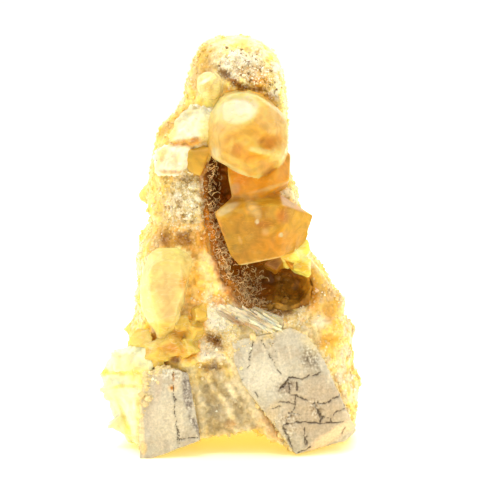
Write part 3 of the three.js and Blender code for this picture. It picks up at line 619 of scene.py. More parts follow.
# %% [markdown]
# The roughening tree adds facets and grains to the fused tower, everywhere but on the flat cut
# underneath and in the crystals' seats.
# %% Roughen the tower
smooth_spots, smooth_normals = points_of(tower), normals_of(tower)
off_the_floor = ramp(smooth_spots[:, 2], 0.4, 2.5)
off_the_crystals = ramp(distance_to(smooth_spots, SEATED), 0.7, 2.0)
soft_side = 1 - 0.55 * ramp(side_share(smooth_spots), 0.65, 0.9)
crisp = off_the_floor * (0.15 + 0.85 * off_the_crystals) * soft_side
roughen(tower, crisp, swell=(4.5, 1.2), facet=(1.9, 0.6), grain=(0.75, 0.4))
spots = points_of(tower)
print("crisp share of the tower:", round(float(crisp.mean()), 2))

# %% [markdown]
# At the sides nothing looks crisp, because the light comes through. Those parts are smoothed until the
# blocks are only low humps, moved out again by what the smoothing took away, and then roughened finely,
# like crumbs. The same is done to the back, but more weakly.
# %% Soften the sides of the tower
SIDE_SMOOTHING = 44
REGAINED, REGAINED_AT_THE_TOP = 0.65, 0.45

behind = ramp(spots[:, 1], 4, 10)
aside = np.clip(ramp(side_share(spots), 0.68, 0.9) + ramp(spots[:, 1], -5, 2) * (1 - 0.8 * behind), 0, 1)
aside *= ramp(spots[:, 2], 1.5, 3.0)
top = ramp(spots[:, 2], 85, 89)
smoothed(tower, SIDE_SMOOTHING, aside)
regained = aside * (REGAINED + REGAINED_AT_THE_TOP * top)
move_to(tower, points_of(tower) + regained[:, None] * normals_of(tower))
roughen(tower, aside, swell=(3.4, 0.7), facet=(1.0, 0.12), grain=(0.9, 0.4))
spots = points_of(tower)
rise = np.sum((spots - smooth_spots) * smooth_normals, axis=1)
print("rise of the tower's surface from", round(rise.min(), 2), "to", round(rise.max(), 2), "mm")

# %% [markdown]
# Beside the two stones the calcite stands as far forward as they do, so it is raised there until it is
# flush with them. A thick lip of it lies over the left one. Last, the rims of the seats are drawn onto
# the crystals.
# %% Bring the tower up to the stones and the crystals
FOREMOST = -17.9
RAISED_BESIDE, RAISED_OVER = 1.5, 2.2

flush = (1 - ramp(distance_to(spots, STONE_NODES), 0.9, 3.2)) * (1 - ramp(spots[:, 1], -14, -9))
lip = patch(spots, (-13.5, 21.0), (6.5, 1.6)) * (1 - ramp(spots[:, 1], -12, -8))
flush = np.maximum(RAISED_BESIDE * flush, RAISED_OVER * lip)
spots[:, 1] = np.where(flush > 0, np.maximum(spots[:, 1] - flush, FOREMOST), spots[:, 1])
move_to(tower, spots)
close_gap(tower, SEATED + ["hollow_crust"])
spots = points_of(tower)
off_the_floor = ramp(spots[:, 2], 0.4, 2.0)
crystal_gap = distance_to(spots, CRYSTAL_NODES)
stone_gap = distance_to(spots, STONE_NODES)
print("tower:", len(spots), "points,", triangles(tower), "triangles")

# %% [markdown]
# Where light comes through the calcite it is painted lemon and white, partly its own colour and partly a
# painted glow of that light. In front it is straw and cream, and beside the hollow and the crystals iron has
# stained it amber, rust and brown. The main colours are named once, and each stain, clear place or painted
# shadow of the front is one oval patch.
# %% The main colours of the tower
LEMON = screen(255, 242, 150)
BUTTER = screen(255, 224, 92)
STRAW = screen(250, 222, 128)
CREAM = screen(236, 212, 150)
SNOW = screen(252, 247, 228)
AMBER = screen(238, 168, 40)
RUST = screen(206, 142, 62)
OLIVE = screen(186, 144, 56)
BROWN = screen(150, 92, 20)
BEIGE_SPAR = screen(198, 182, 148)
GREY = screen(176, 164, 138)
# the next two are the painted glow of light through the crystals, in their seats
HONEY_SEAT_GLOW = screen(255, 196, 70)
STRAW_SEAT_GLOW = screen(255, 236, 160)
print("lemon in linear light:", [round(v, 2) for v in LEMON[:3]])

# %% Patches of the tower
TOWER_PATCHES = [
    # where on the front, half width and height, turn, colour, strength, softness of the rim
    ("cream field left of the hollow", (-10.3, 56.0), (5.5, 9.5), 0, screen(232, 212, 156), 0.9, 0.8),
    ("white druse under the shoulder", (-13.6, 63.6), (3.4, 2.4), 0, SNOW, 0.8),
    ("olive grains of the cream field", (-8.6, 57.0), (1.5, 6.0), 0, screen(214, 196, 138), 0.5, 0.7),
    ("lilac grey spot", (-11.6, 56.4), (1.3, 1.1), 0, screen(216, 206, 190), 0.7),
    ("amber grains left of the dome", (-6.6, 84.0), (2.4, 4.0), 0, screen(208, 172, 96), 0.9),
    ("dome sparkle", (3.8, 86.5), (6.0, 4.2), 0, SNOW, 0.8),
    ("amber speckle of the dome", (4.8, 83.6), (4.6, 1.8), -10, screen(232, 186, 84), 0.5),
    ("amber lump of the dome", (6.6, 81.4), (2.6, 1.4), -10, AMBER, 0.5),
    # the next three are painted shadow under the ledge where the dome overhangs
    ("crack under the dome", (-1.2, 83.4), (1.5, 0.9), -35, screen(138, 92, 36), 0.9),
    ("crack under the dome, middle", (1.8, 81.2), (3.4, 0.8), -28, BROWN, 0.9),
    ("crack under the dome, right", (5.8, 80.0), (2.4, 0.6), 5, BROWN, 0.75),
    ("brown neck", (9.0, 77.0), (3.4, 1.6), -35, BROWN, 0.8),
    ("straw under the crack", (-0.4, 78.6), (2.8, 1.6), -10, AMBER, 0.5),
    ("lemon under the round crystal", (-3.4, 77.0), (3.0, 1.6), 0, LEMON, 0.8),
    ("druse right of the upper crystal", (14.2, 58.5), (2.4, 5.4), 10, SNOW, 0.8),
    ("amber flank right of the middle crystal", (13.2, 62.6), (1.4, 3.4), 0, screen(244, 190, 70), 0.7),
    ("rusty edge, upper", (-5.6, 60.5), (1.1, 7.0), 4, RUST, 0.9),
    ("rusty edge, middle", (-5.0, 49.8), (1.9, 5.5), -22, screen(226, 166, 70), 0.9),
    ("rusty edge, lower", (-0.6, 38.5), (1.4, 7.0), 27, RUST, 0.85),
    # painted shadows under the shoulder crystal and under the wedge
    ("pit under the shoulder", (-14.0, 60.8), (2.6, 0.5), -4, screen(176, 116, 36), 0.7),
    ("pit under the wedge", (-10.0, 60.6), (1.6, 0.7), 10, OLIVE, 0.6),
    ("second tan pit", (-13.6, 54.4), (1.2, 0.6), 0, BROWN, 0.7),
    ("tan spots beside it", (-10.6, 52.6), (1.6, 1.2), 0, OLIVE, 0.6),
    ("golden band over the pale crystal", (-11.2, 47.6), (7.0, 3.0), -4, screen(230, 180, 66), 0.85, 0.8),
    ("first pit over the pale crystal", (-14.4, 47.6), (1.4, 1.7), 0, screen(156, 104, 30), 0.85, 0.7),
    ("second pit over the pale crystal", (-9.8, 47.4), (1.9, 2.0), -20, screen(160, 104, 28), 0.85, 0.7),
    ("tail of the second pit", (-8.4, 44.6), (1.0, 1.9), 24, screen(176, 116, 34), 0.8, 0.6),
    ("amber ground", (-8.2, 36.5), (3.0, 8.0), 10, screen(246, 200, 98), 0.65),
    ("orange stain", (-2.6, 34.4), (2.2, 1.4), 0, AMBER, 0.5),
    ("amber under the crystals", (-11.8, 24.6), (8.0, 3.2), 5, screen(226, 160, 50), 0.75),
    ("white sugar", (-3.0, 30.2), (4.4, 3.0), -20, SNOW, 0.8),
    ("white knobs", (-5.0, 23.4), (3.4, 2.4), 0, SNOW, 0.8),
    ("olive round the upper pit", (-3.2, 25.4), (2.8, 2.0), -30, screen(206, 172, 96), 0.8, 0.8),
    ("upper pit", (-3.2, 25.4), (1.8, 1.2), -30, screen(136, 88, 20), 0.95, 0.6),
    ("olive round the lower pit", (-3.6, 19.6), (2.4, 1.6), 0, screen(196, 160, 84), 0.8, 0.8),
    ("lower pit", (-3.6, 19.7), (1.2, 0.8), 0, screen(130, 84, 18), 0.9, 0.6),
    ("pit over the left stone", (-12.0, 21.2), (1.0, 0.8), 0, screen(150, 98, 24), 0.8),
    ("beige spar between the feet", (-0.4, 11.5), (7.5, 7.0), -15, BEIGE_SPAR, 0.95),
    ("olive folds of the spar", (-3.6, 15.6), (2.0, 2.4), 20, screen(188, 166, 112), 0.6),
    ("pale ridge across the spar", (-2.0, 12.6), (7.4, 0.7), -56, screen(244, 228, 184), 0.75),
    ("second pale ridge", (1.4, 13.4), (6.4, 0.5), -52, screen(240, 222, 176), 0.6),
    ("grey spar", (-5.2, 12.0), (1.6, 4.0), 10, GREY, 0.6),
    ("amber stain above the arch", (9.8, 7.4), (4.4, 2.0), -50, AMBER, 0.9),
    ("small amber stain", (0.0, 7.1), (1.5, 0.9), 0, screen(196, 150, 84), 0.6),
    ("yellow fill beside the left stone", (-19.8, 10.0), (1.6, 10.0), 0, BUTTER, 0.8),
    ("lemon crest of the right bulk", (20.9, 37.0), (4.8, 2.0), -38, screen(244, 208, 84), 0.85),
    ("amber patch of the right bulk", (22.0, 30.8), (2.4, 1.7), 20, screen(246, 190, 66), 0.8),
    ("lower amber patch", (21.4, 24.8), (2.8, 1.3), 10, screen(240, 186, 74), 0.8),
    ("olive ground of the right bulk", (20.5, 33.6), (4.6, 4.0), 0, screen(214, 176, 100), 0.7, 0.8),
    ("white cloud between them", (19.6, 28.8), (1.6, 1.5), 0, SNOW, 0.9),
    ("beige beside the stone", (17.6, 25.4), (2.2, 3.2), 0, screen(224, 206, 162), 0.8),
    ("pale lower flank", (25.1, 18.4), (2.4, 4.6), 0, SNOW, 0.5),
    ("amber line along the stone", (23.6, 13.4), (0.9, 4.6), 19, screen(240, 190, 90), 0.7),
    ("amber rim of the cave", (17.8, 36.0), (1.4, 4.0), 8, screen(232, 174, 56), 0.9, 0.6),
    ("cave floor that runs out over the lip", (11.0, 31.2), (3.4, 1.4), -6, screen(140, 96, 34), 0.95),
    ("cream lip of the cave", (12.6, 29.2), (7.0, 1.6), 8, screen(240, 220, 166), 0.8),
    ("lemon stain on the lip", (10.6, 29.2), (2.4, 0.8), 12, screen(248, 204, 96), 0.7),
]

LEFT_EDGE_PATCHES = [
    ("lemon left edge", (-17.0, 62.0), (4.4, 12.0), -8, screen(238, 204, 96), 0.7, 0.8),
    ("amber left of the dome", (-6.4, 86.0), (3.2, 6.0), 0, screen(214, 176, 90), 0.7, 0.8),
    ("golden edge of the shoulder", (-12.8, 72.4), (5.4, 0.9), 43, screen(206, 154, 58), 0.7, 0.6),
]
print("patches on the tower:", len(TOWER_PATCHES) + len(LEFT_EDGE_PATCHES))

# %% [markdown]
# The patches lie on a ground that changes from place to place by itself. Noise at three sizes mixes
# cream, white, butter and amber into the straw. The sides are warmer and the back is deeper, because
# so much light falls on them that the same colours would turn white.
# %% From the edges inwards, and then patch by patch
WARM_SIDES = np.array([0.89, 0.75, 0.55])  # what the sides' colours are multiplied by
DEEPER_BACK = np.array([0.72, 0.64, 0.58])  # and the back's
RIDGE_FALL = -56  # degrees, of the pale ridges across the spar between the feet


def spar_streaks(points):
    """Smooth noise from -1 to 1, stretched along the ridges that cross the spar between the feet."""
    x, z, angle = points[:, 0], points[:, 2], math.radians(RIDGE_FALL)
    along = x * math.cos(angle) + z * math.sin(angle)
    across = z * math.cos(angle) - x * math.sin(angle)
    return flutter(np.column_stack([0.35 * along, 0.5 * points[:, 1], 1.3 * across]), 2.2, 31)


def paint_tower(points):
    """The tower's colours, from its edges inwards, and then patch by patch."""
    beside = ramp(side_share(points) + 0.2 * flutter(points, 6.0, 1), 0.45, 0.85)
    back = ramp(points[:, 1], -2, 12)
    broad, middle, fine = flutter(points, 6.0, 1), flutter(points, 2.6, 2), flutter(points, 1.1, 7)
    colours = blend(all_over(points, STRAW), CREAM, ramp(broad + 0.6 * middle, -0.3, 0.5) * (1 - 0.6 * back))
    # lemon and white at the sides and the back: partly their own colour, partly a painted glow of the light
    # through them
    colours = blend(colours, LEMON, 0.95 * np.maximum(beside, 0.7 * back))
    colours = blend(colours, SNOW, (0.35 + 0.6 * beside) * ramp(middle + 0.4 * fine + 0.5 * broad, -0.2, 0.2))
    vein = 1 - ramp(np.abs(flutter(points, 3.4, 4) + 0.25 * fine), 0.03, 0.14)
    colours = blend(colours, BUTTER, (0.25 + 0.65 * beside) * vein)
    colours = blend(colours, AMBER, 0.3 * ramp(fine + 0.7 * broad, 0.3, 0.8) * (1 - 0.7 * beside))
    in_front = front_share(points)
    colours = paint(points, colours, TOWER_PATCHES, in_front)
    field = in_front * patch(points, (-10.0, 57.2), (5.6, 7.0), 0, 0.6)
    colours = blend(colours, screen(178, 144, 80), 0.75 * field * ramp(fine + 0.4 * middle, 0.1, 0.4))
    colours = blend(colours, SNOW, 0.6 * field * ramp(-fine - 0.4 * middle, 0.05, 0.3))
    spar = in_front * patch(points, (-0.4, 11.5), (8.0, 8.0), -15)
    streak = spar_streaks(points)
    colours = blend(colours, screen(244, 230, 190), 0.8 * spar * ramp(streak, 0.02, 0.3))
    colours = blend(colours, screen(192, 170, 120), 0.7 * spar * ramp(-streak, 0.08, 0.4))
    beside *= 1 - 0.5 * ramp(points[:, 2], 55, 65) * ramp(points[:, 0], 5, 9)
    colours = colours * (1 - beside[:, None] * (1 - WARM_SIDES))
    colours = paint(points, colours, LEFT_EDGE_PATCHES, 1 - ramp(points[:, 1], 0, 6))
    return colours * (1 - ramp(points[:, 1], 3, 11)[:, None] * (1 - DEEPER_BACK))


def shaded_in_folds(colours, share):
    """The same colours, deeper and more saturated: the painted shade in the folds between grains."""
    return blend(colours, colours ** 1.8, share)


# %% [markdown]
# Light that gets into a fold between grains comes out deeper in colour, so the folds are given painted
# shade, deeper and more saturated. How far the roughening raised or sank each point tells the folds from the
# crests. Under a crystal the tower is painted in the crystal's own colour, a painted glow of the light that
# comes through it, and where the front is sugary it is gritty too.
# %% Paint the tower, with painted shade in its folds and painted glow in the seats, and note where it is gritty
edge = side_share(spots)
in_front = front_share(spots)
at_the_side = np.clip(ramp(edge, 0.6, 0.85) + ramp(spots[:, 1], -7, -1), 0, 1)
grain_colours = paint_tower(spots)
between_feet = 1 - ramp(np.abs(spots[:, 0] - 1.5), 8, 14)
dusty = in_front * between_feet * (1 - ramp(stone_gap, 0.8, 3.0))
grain_colours = blend(grain_colours, screen(226, 212, 178), 0.65 * dusty)
# painted shade: the lower a point lies in a fold, the deeper its colour is painted
sheltered = 1 - ramp(rise + 0.35 * flutter(spots, 0.9, 12), -0.45, 0.35)
painted_fold_shade = (0.08 + 0.55 * sheltered) * (1 - 0.7 * at_the_side)
ground_colours = shaded_in_folds(grain_colours, painted_fold_shade)
honey_gap = distance_to(spots, HONEY_NODES)
# painted glow: in a crystal's seat the tower takes the colour of the light that comes through the crystal
ground_colours = blend(ground_colours, STRAW_SEAT_GLOW, 1 - ramp(crystal_gap, 0.2, 0.4))
ground_colours = blend(ground_colours, HONEY_SEAT_GLOW, 1 - ramp(honey_gap, 0.2, 0.4))
GRITTY = (((-10.0, 57.4), (5.6, 7.6)), ((4.4, 85.0), (7.0, 6.0)), ((-4.0, 28.0), (5.0, 6.5)),
          ((10.0, 29.6), (7.5, 2.2)))
gritty = in_front * in_any(spots, GRITTY, soft=0.8)
write(tower, "tint", ground_colours)
write(tower, "grit", 0.2 + 0.55 * gritty - 0.12 * at_the_side)
write(tower, "open", ramp(np.minimum(crystal_gap, stone_gap), 0.25, 1.2))
print("gritty share of the tower:", round(float(gritty.mean()), 3))

# %% [markdown]
# Calcite lets light in and scatters it, so a white lump of it glows where it is thin. Subsurface
# scattering does this, with red and yellow light going deeper than blue. The colour comes from the
# painted attribute. At a seam the light would come out inside the next piece and be lost, as a dark
# line, so the "open" attribute keeps it from going in there. A mosaic of cells, each a little lighter
# or darker, stands for the single grains of the spar, whose cleavage faces catch the light differently.
# %% A new finish, and its textures
DULL_SHINE = 0.15


def new_finish(name):
    """A material, its tree, its main shader, and the place on the piece that patterns read."""
    finish = bpy.data.materials.new(name)
    finish.use_nodes = True
    tree = finish.node_tree
    shader = tree.nodes["Principled BSDF"]
    shader.inputs["Specular IOR Level"].default_value = DULL_SHINE
    return finish, tree, shader, put(tree, "ShaderNodeTexCoord").outputs["Object"]


def noise_at(tree, place, size, detail, distortion=0.0):
    """A cloudy texture whose clouds are that many millimetres wide."""
    made = put(tree, "ShaderNodeTexNoise", {
        "Vector": place, "Scale": 1 / (size * MM), "Detail": detail, "Distortion": distortion,
    })
    return made.outputs[0]


def cells_at(tree, place, size, output):
    """A texture of cells like grains, each about that many millimetres wide."""
    return put(tree, "ShaderNodeTexVoronoi", {"Vector": place, "Scale": 1 / (size * MM)}).outputs[output]


def bumps(tree, shader, strength, height, texture):
    """Lets the shader see fine bumps that high, in millimetres, where the texture has them."""
    bump = put(tree, "ShaderNodeBump", {"Strength": strength, "Distance": height * MM, "Height": texture})
    tree.links.new(bump.outputs[0], shader.inputs["Normal"])


# %% Mixing within a finish, and light inside the stone
LOW_INDEX, SPAR_INDEX, HIGH_INDEX = 1.49, 1.6, 1.66  # calcite bends light in two ways, and spar between
GLOW_DEPTHS = (1.0, 0.82, 0.45)  # how deep red, green and blue light go


def between(tree, value, low, high, start=0.0, end=1.0):
    """Maps a texture's values from low..high to start..end."""
    return put(tree, "ShaderNodeMapRange", {
        "Value": value, "From Min": low, "From Max": high, "To Min": start, "To Max": end,
    }).outputs[0]


def mixed(tree, share, first, second):
    """The first colour, with that share of the second."""
    made = put(tree, "ShaderNodeMix", {0: share, 6: first, 7: second}, data_type="RGBA")
    return made.outputs[2]


def attribute(tree, name, output="Fac"):
    """What is noted under this name for each point of the piece."""
    return put(tree, "ShaderNodeAttribute", attribute_name=name).outputs[output]


def glow_inside(tree, shader, weight, depth):
    """Light that goes in, scatters and comes out warmer, where the piece is open to the air."""
    glow = reckoned(tree, "MULTIPLY", attribute(tree, "open"), weight)
    tree.links.new(glow, shader.inputs["Subsurface Weight"])
    shader.inputs["Subsurface Radius"].default_value = GLOW_DEPTHS
    shader.inputs["Subsurface Scale"].default_value = depth * MM
    shader.inputs["IOR"].default_value = SPAR_INDEX


# %% The finish of sparry calcite
def spar_finish(name, scatter=0.6, depth=1.6, rough=0.34, grain_size=0.9, mottle=0.2):
    """Grains a little lighter and darker, and pale and dark specks where the piece is gritty."""
    finish, tree, shader, place = new_finish(name)
    soft = noise_at(tree, place, grain_size, 4.0)
    light = between(tree, soft, 0.3, 0.7, 1 - mottle, 1 + mottle * 0.7)
    mosaic = cells_at(tree, place, grain_size * 1.3, "Color")
    cell = put(tree, "ShaderNodeSeparateColor", {0: mosaic}).outputs[0]
    cell_light = between(tree, cell, 0.0, 1.0, 1 - mottle * 0.6, 1 + mottle * 0.5)
    light = reckoned(tree, "MULTIPLY", light, cell_light)
    tint = scaled(tree, attribute(tree, "tint", "Color"), light)
    grit = attribute(tree, "grit")
    speckle = noise_at(tree, place, 0.6, 5.0)
    pale_grit = reckoned(tree, "MULTIPLY", grit, between(tree, speckle, 0.52, 0.70, 0.0, 0.75))
    dark_grit = reckoned(tree, "MULTIPLY", grit, between(tree, speckle, 0.48, 0.32, 0.0, 0.85))
    tint = mixed(tree, pale_grit, tint, screen(252, 245, 222))
    tint = mixed(tree, dark_grit, tint, put(tree, "ShaderNodeGamma", {0: tint, 1: 2.1}).outputs[0])
    tree.links.new(tint, shader.inputs["Base Color"])
    bumps(tree, shader, 0.5, 0.15, cells_at(tree, place, grain_size * 0.6, "Distance"))
    shader.inputs["Roughness"].default_value = rough
    glow_inside(tree, shader, scatter, depth)
    return finish


def hand_over(piece, finish, slot, *nodes):
    """Gives a finished piece its material, its body and the solids it stands for. The slot is not used."""
    move_to(piece, points_of(piece))  # raises what is under the table
    piece.data.materials.clear()
    piece.data.materials.append(finish)
    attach(piece, "root")
    if nodes:
        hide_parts(*nodes)
    print(piece.name, "has", triangles(piece), "triangles")


hand_over(tower, spar_finish("sparry calcite"), "sparry_calcite", "calcite_matrix")


# %% [markdown]
# Some of the crystals on the surface are a druse of their own. They take the ground's colour, each a
# little lighter or deeper, and some are quite white or quite dark. In front the grains are as fine as
# sugar, and on the dome they glint. At the back they are larger and softer, and the edges that stand
# against the light are covered with crumbs.
# %% The finish of the druse, and a druse as a piece of its own
def druse_finish(name, rough=0.25, spread=0.3, depth=0.3, scatter=0.45, white=0.0, dark=0.0):
    """White and dark are the shares of the crystals that are almost white and quite dark. A few are
    dark even when the share is 0, but none when it is -0.02."""
    finish, tree, shader, place = new_finish(name)
    chance = attribute(tree, "chance")
    light = between(tree, chance, 0.0, 1.0, 1 - spread, 1 + spread * 0.5)
    cloud = noise_at(tree, place, 0.5, 2.0)
    light = reckoned(tree, "MULTIPLY", light, between(tree, cloud, 0.35, 0.65, 0.9, 1.08))
    tint = scaled(tree, attribute(tree, "tint", "Color"), light)
    tint = mixed(tree, between(tree, chance, 1.0 - 1.5 * white, 1.0, 0.0, 0.85), tint, screen(255, 252, 232))
    tint = mixed(tree, between(tree, chance, dark, dark + 0.02, 0.8, 0.0), tint, screen(136, 98, 52))
    tree.links.new(tint, shader.inputs["Base Color"])
    shader.inputs["Roughness"].default_value = rough
    glow_inside(tree, shader, scatter, depth)
    return finish


def grow_druse(name, ground, where, crystals, finish, colours, slot="sparry_calcite", **scatter):
    """Small crystals on the ground piece, as a visible piece of their own."""
    druse = crystals_on(name, ground, where, crystals, colours=colours, finish=finish, **scatter)
    hand_over(druse, finish, slot)


sugar_finish = druse_finish("milky druse", spread=0.24, white=0.05, dark=0.015)
glint_finish = druse_finish("glinting druse", rough=0.1, spread=0.45, white=0.4, dark=0.1)
side_finish = druse_finish("lemon druse", depth=0.5, scatter=0.6, white=0.04, dark=-0.02, spread=0.16)
print("druse finishes:", [finish.name for finish in (sugar_finish, glint_finish, side_finish)])

# %% Grow the sugar of the front and the glinting patches
room_to_grow = off_the_floor * ramp(crystal_gap, 0.35, 1.0) * ramp(stone_gap, 0.15, 0.5)
growth = 0.5 + 0.5 * ramp(np.minimum(crystal_gap, stone_gap), 0.4, 1.8)
GLINTS = (((4.2, 87.0), (6.5, 4.0)), ((6.2, 81.0), (5.0, 3.4)))
glinting = in_front * in_any(spots, GLINTS)
# fewer glints in the painted shadow under the dome's ledge
glinting *= 1 - 0.7 * patch(spots, (2.4, 80.9), (5.4, 1.1), -26)
sugary = room_to_grow * gritty * (1 - at_the_side) * (1 - 0.6 * glinting) * (0.45 + 0.55 * (1 - sheltered))
sugary = sugary * (1 - patch(spots, (11.0, 31.2), (3.6, 1.5), -6))
paler = blend(grain_colours, SNOW, 0.35 * ramp(grain_colours[:, 1], 0.25, 0.6))
grow_druse("sugar_druse", tower, sugary, SUGAR, sugar_finish, paler,
           spacing=0.38, sizes=(0.35, 0.9), seed=11, growth=growth, tries=12)
grow_druse("glinting_druse", tower, room_to_grow * glinting, TEETH, glint_finish, grain_colours,
           spacing=0.42, sizes=(0.35, 0.85), seed=17, growth=growth)

# %% Grow the soft grains of the sides and the back, and the crumbs of the edges
clumps = ramp(flutter(spots, 3.0, 33), -0.1, 0.25)
off_the_edge = 1 - ramp(edge, 0.74, 0.9)
side_room = room_to_grow * clumps * np.clip(0.7 * at_the_side + 0.3 * (1 - gritty), 0, 1) * off_the_edge
side_room = np.maximum(side_room, room_to_grow * behind * off_the_edge)
grow_druse("lemon_druse", tower, side_room, SUGAR, side_finish, grain_colours,
           spacing=1.2, sizes=(0.6, 1.4), lean=0.8, seed=29, growth=growth)
crumbly = ramp(flutter(spots, 2.2, 35) + 0.5 * flutter(spots, 0.9, 36), -0.3, 0.2)
crumbly = crumbly * room_to_grow * ramp(edge, 0.62, 0.8) * (1 - ramp(spots[:, 1], 4, 9))
grow_druse("crumbs_of_the_sides", tower, crumbly, SUGAR, side_finish, blend(grain_colours, SNOW, 0.2),
           spacing=0.7, sizes=(0.35, 1.15), seed=61, growth=growth)

# %% [markdown]
# Where a stone or a crystal sticks in the tower, the sugar grows a little way over its rim and hides the
# seam. The same tree grows these grains, on the rim only.
# %% Grains over the rims
def overgrow(piece, name, reach, colours, seed, others=("calcite_matrix",)):
    """Small grains on a piece where it is near the other solids, to that many millimetres."""
    here = points_of(piece)
    gap = distance_to(here, others) + 0.45 * reach * flutter(here, 1.8, seed)
    rim = (1 - ramp(gap, 0.25 * reach, reach)) * (1 - ramp(here[:, 1], -6.0, -3.0))
    rim = rim * ramp(here[:, 2], 0.5, 1.5)
    knobs = (1 - ramp(gap, 0.2 * reach, 0.65 * reach)) * (rim > 0)
    grow_druse(name, piece, rim, SUGAR, sugar_finish, colours, spacing=0.5, sizes=(0.35, 1.0), seed=seed)
    grow_druse(name + "_knobs", piece, knobs, BLOCKS, side_finish, colours,
               spacing=1.0, sizes=(0.7, 1.8), seed=seed + 1)


# %% [markdown]
# ## The lining of the hollow
# The hollow is lined with iron-stained calcite, dark brown like syrup. It is darkest in the cave at the
# right, where the lining is smooth and only mottled with olive, and under the upper crystal it has painted
# shade. The lining is roughened and painted in the same way as the tower, and drawn onto it at its rim.
# %% Roughen and colour the crust
CRUST_CELL = 0.35
IRON_STAIN = np.array([1.0, 0.96, 0.7])  # what all the crust's colours are multiplied by

crust = remeshed("hollow_crust", "hollow_lining", CRUST_CELL)
roughen(crust, 1.0, swell=(2.8, 1.1), facet=(1.5, 0.5), grain=(0.6, 0.25))
close_gap(crust, ["calcite_matrix"], sink=0.1)
inner = points_of(crust)
shade = paint(inner, screen(150, 88, 16), [
    ("amber left rim", (-5.4, 58.0), (1.5, 11.0), 2, screen(206, 134, 40), 0.85),
    ("amber middle", (-3.8, 49.0), (3.1, 5.4), -22, screen(244, 160, 36), 0.95),
    ("amber lower rim", (-0.4, 38.0), (2.2, 8.0), 28, screen(206, 140, 54), 0.75),
    # painted shade under the upper crystal
    ("dark under the upper crystal", (-2.6, 63.6), (1.4, 4.0), 10, screen(84, 38, 4), 0.85),
    ("smooth brown right half", (-0.2, 59.0), (1.8, 7.5), 0, screen(140, 72, 4), 0.8),
    ("amber under the lower crystal", (0.0, 47.0), (1.2, 4.5), -26, screen(196, 122, 16), 0.7),
    ("dark top of the cave", (9.0, 38.4), (5.0, 2.6), -14, screen(130, 78, 18), 0.8),
    ("dark right of the cave", (17.0, 33.6), (2.4, 2.6), 0, screen(118, 70, 14), 0.9),
    ("olive middle of the cave", (12.4, 35.4), (2.6, 3.0), 0, screen(172, 124, 44), 0.75),
    ("olive floor of the cave", (11.0, 32.2), (4.4, 2.0), 4, screen(184, 140, 60), 0.85),
    ("dark ground of the fur", (-4.0, 60.5), (1.5, 7.4), 4, screen(80, 40, 6), 0.85),
    ("dark ground of the fur, middle", (-2.6, 50.5), (0.9, 5.0), -20, screen(120, 70, 18), 0.35),
    ("amber right rim", (17.4, 37.0), (1.5, 4.4), 8, screen(230, 166, 56), 0.9, 0.8),
    ("tan fur", (3.8, 34.6), (3.2, 3.4), -20, screen(176, 126, 66), 0.6),
])
shade = blend(shade, screen(74, 38, 6), 0.45 * ramp(flutter(inner, 2.2, 5), 0.0, 0.45))
shade = blend(shade, screen(190, 130, 40), 0.35 * ramp(flutter(inner, 1.7, 6), 0.1, 0.5))
write(crust, "tint", shade * IRON_STAIN)
write(crust, "open", np.ones(len(inner)))
crust_finish = spar_finish("brown crust", scatter=0.2, depth=0.8, rough=0.3, grain_size=0.6, mottle=0.24)
hand_over(crust, crust_finish, "brown_crust", "hollow_crust")

# %% [markdown]
# On the lining grow tiny curled crystals that are almost white, so that it looks furry. A curl could be
# a bevelled curve, but thousands of them have to be light, so each is a wire with three sides and six
# rings, and the druse's tree sets three such shapes on the lining.
# %% Shapes of the curls
CURL_RINGS, CURL_SIDES = 6, 3
CURL_THICKNESS = 0.12


def curl_mesh(name, radius, bend, rise):
    """A thin three-sided wire bent round part of a circle, closed at both ends."""
    shape = bmesh.new()
    rings = []
    turns = [2 * math.pi * k / CURL_SIDES for k in range(CURL_SIDES)]
    side = Vector((0, 1, 0))
    for i in range(CURL_RINGS):
        a = bend * i / (CURL_RINGS - 1)
        middle = Vector((radius * math.cos(a) - radius, rise * math.sin(a * 0.8), radius * math.sin(a)))
        outward = Vector((math.cos(a), 0, math.sin(a)))
        thin = CURL_THICKNESS * (1.0 - 0.35 * i / (CURL_RINGS - 1))
        corners = [middle + thin * (math.cos(t) * outward + math.sin(t) * side) for t in turns]
        rings.append([shape.verts.new(corner) for corner in corners])
    for low, high in zip(rings, rings[1:]):
        for k in range(CURL_SIDES):
            after = (k + 1) % CURL_SIDES
            shape.faces.new((low[k], low[after], high[after], high[k]))
    shape.faces.new(rings[0][::-1])
    shape.faces.new(rings[-1])
    bmesh.ops.recalc_face_normals(shape, faces=shape.faces)
    mesh = bpy.data.meshes.new(name)
    shape.to_mesh(mesh)
    shape.free()
    return mesh


CURLS = bpy.data.collections.new("curls")
for i, (radius, bend, across) in enumerate(((0.5, 3.4, 0.3), (0.38, 4.4, -0.2), (0.66, 2.4, 0.4))):
    curl = curl_mesh(f"curls_{i}", radius, bend, across)
    CURLS.objects.link(bpy.data.objects.new(curl.name, curl))

# %% Grow the fur, and the blunt crystals of the cave
fur_finish = druse_finish("white fur", rough=0.35, spread=0.35, scatter=0.2, depth=0.3)
FUR_PATCHES = (((-4.2, 60.5), (1.7, 7.4)), ((-4.0, 52.0), (2.0, 5.0)), ((-1.6, 43.6), (2.0, 6.0)),
               ((3.0, 35.4), (3.6, 4.4)), ((6.2, 31.6), (3.0, 1.6)))
furry = in_any(inner, FUR_PATCHES) * (0.6 + 0.4 * ramp(flutter(inner, 1.5, 18), -0.3, 0.2))
furry = furry * (1 - 0.3 * ramp(inner[:, 2], 48, 58))
grow_druse("hollow_fur", crust, furry, CURLS, fur_finish, all_over(inner, screen(248, 216, 160)),
           slot="brown_crust", spacing=0.34, sizes=(0.7, 1.3), lean=1.3, seed=31, tries=7)
cave = patch(inner, (12.0, 35.5), (5.6, 4.6), 0) * ramp(flutter(inner, 2.4, 19), -0.2, 0.3)
cave_finish = druse_finish("cave druse", rough=0.2, spread=0.2, scatter=0.25, depth=0.3)
grow_druse("cave_druse", crust, cave, BLOCKS, cave_finish, blend(shade, screen(178, 122, 34), 0.15),
           slot="brown_crust", spacing=1.6, sizes=(0.7, 2.0), lean=0.8, seed=41)

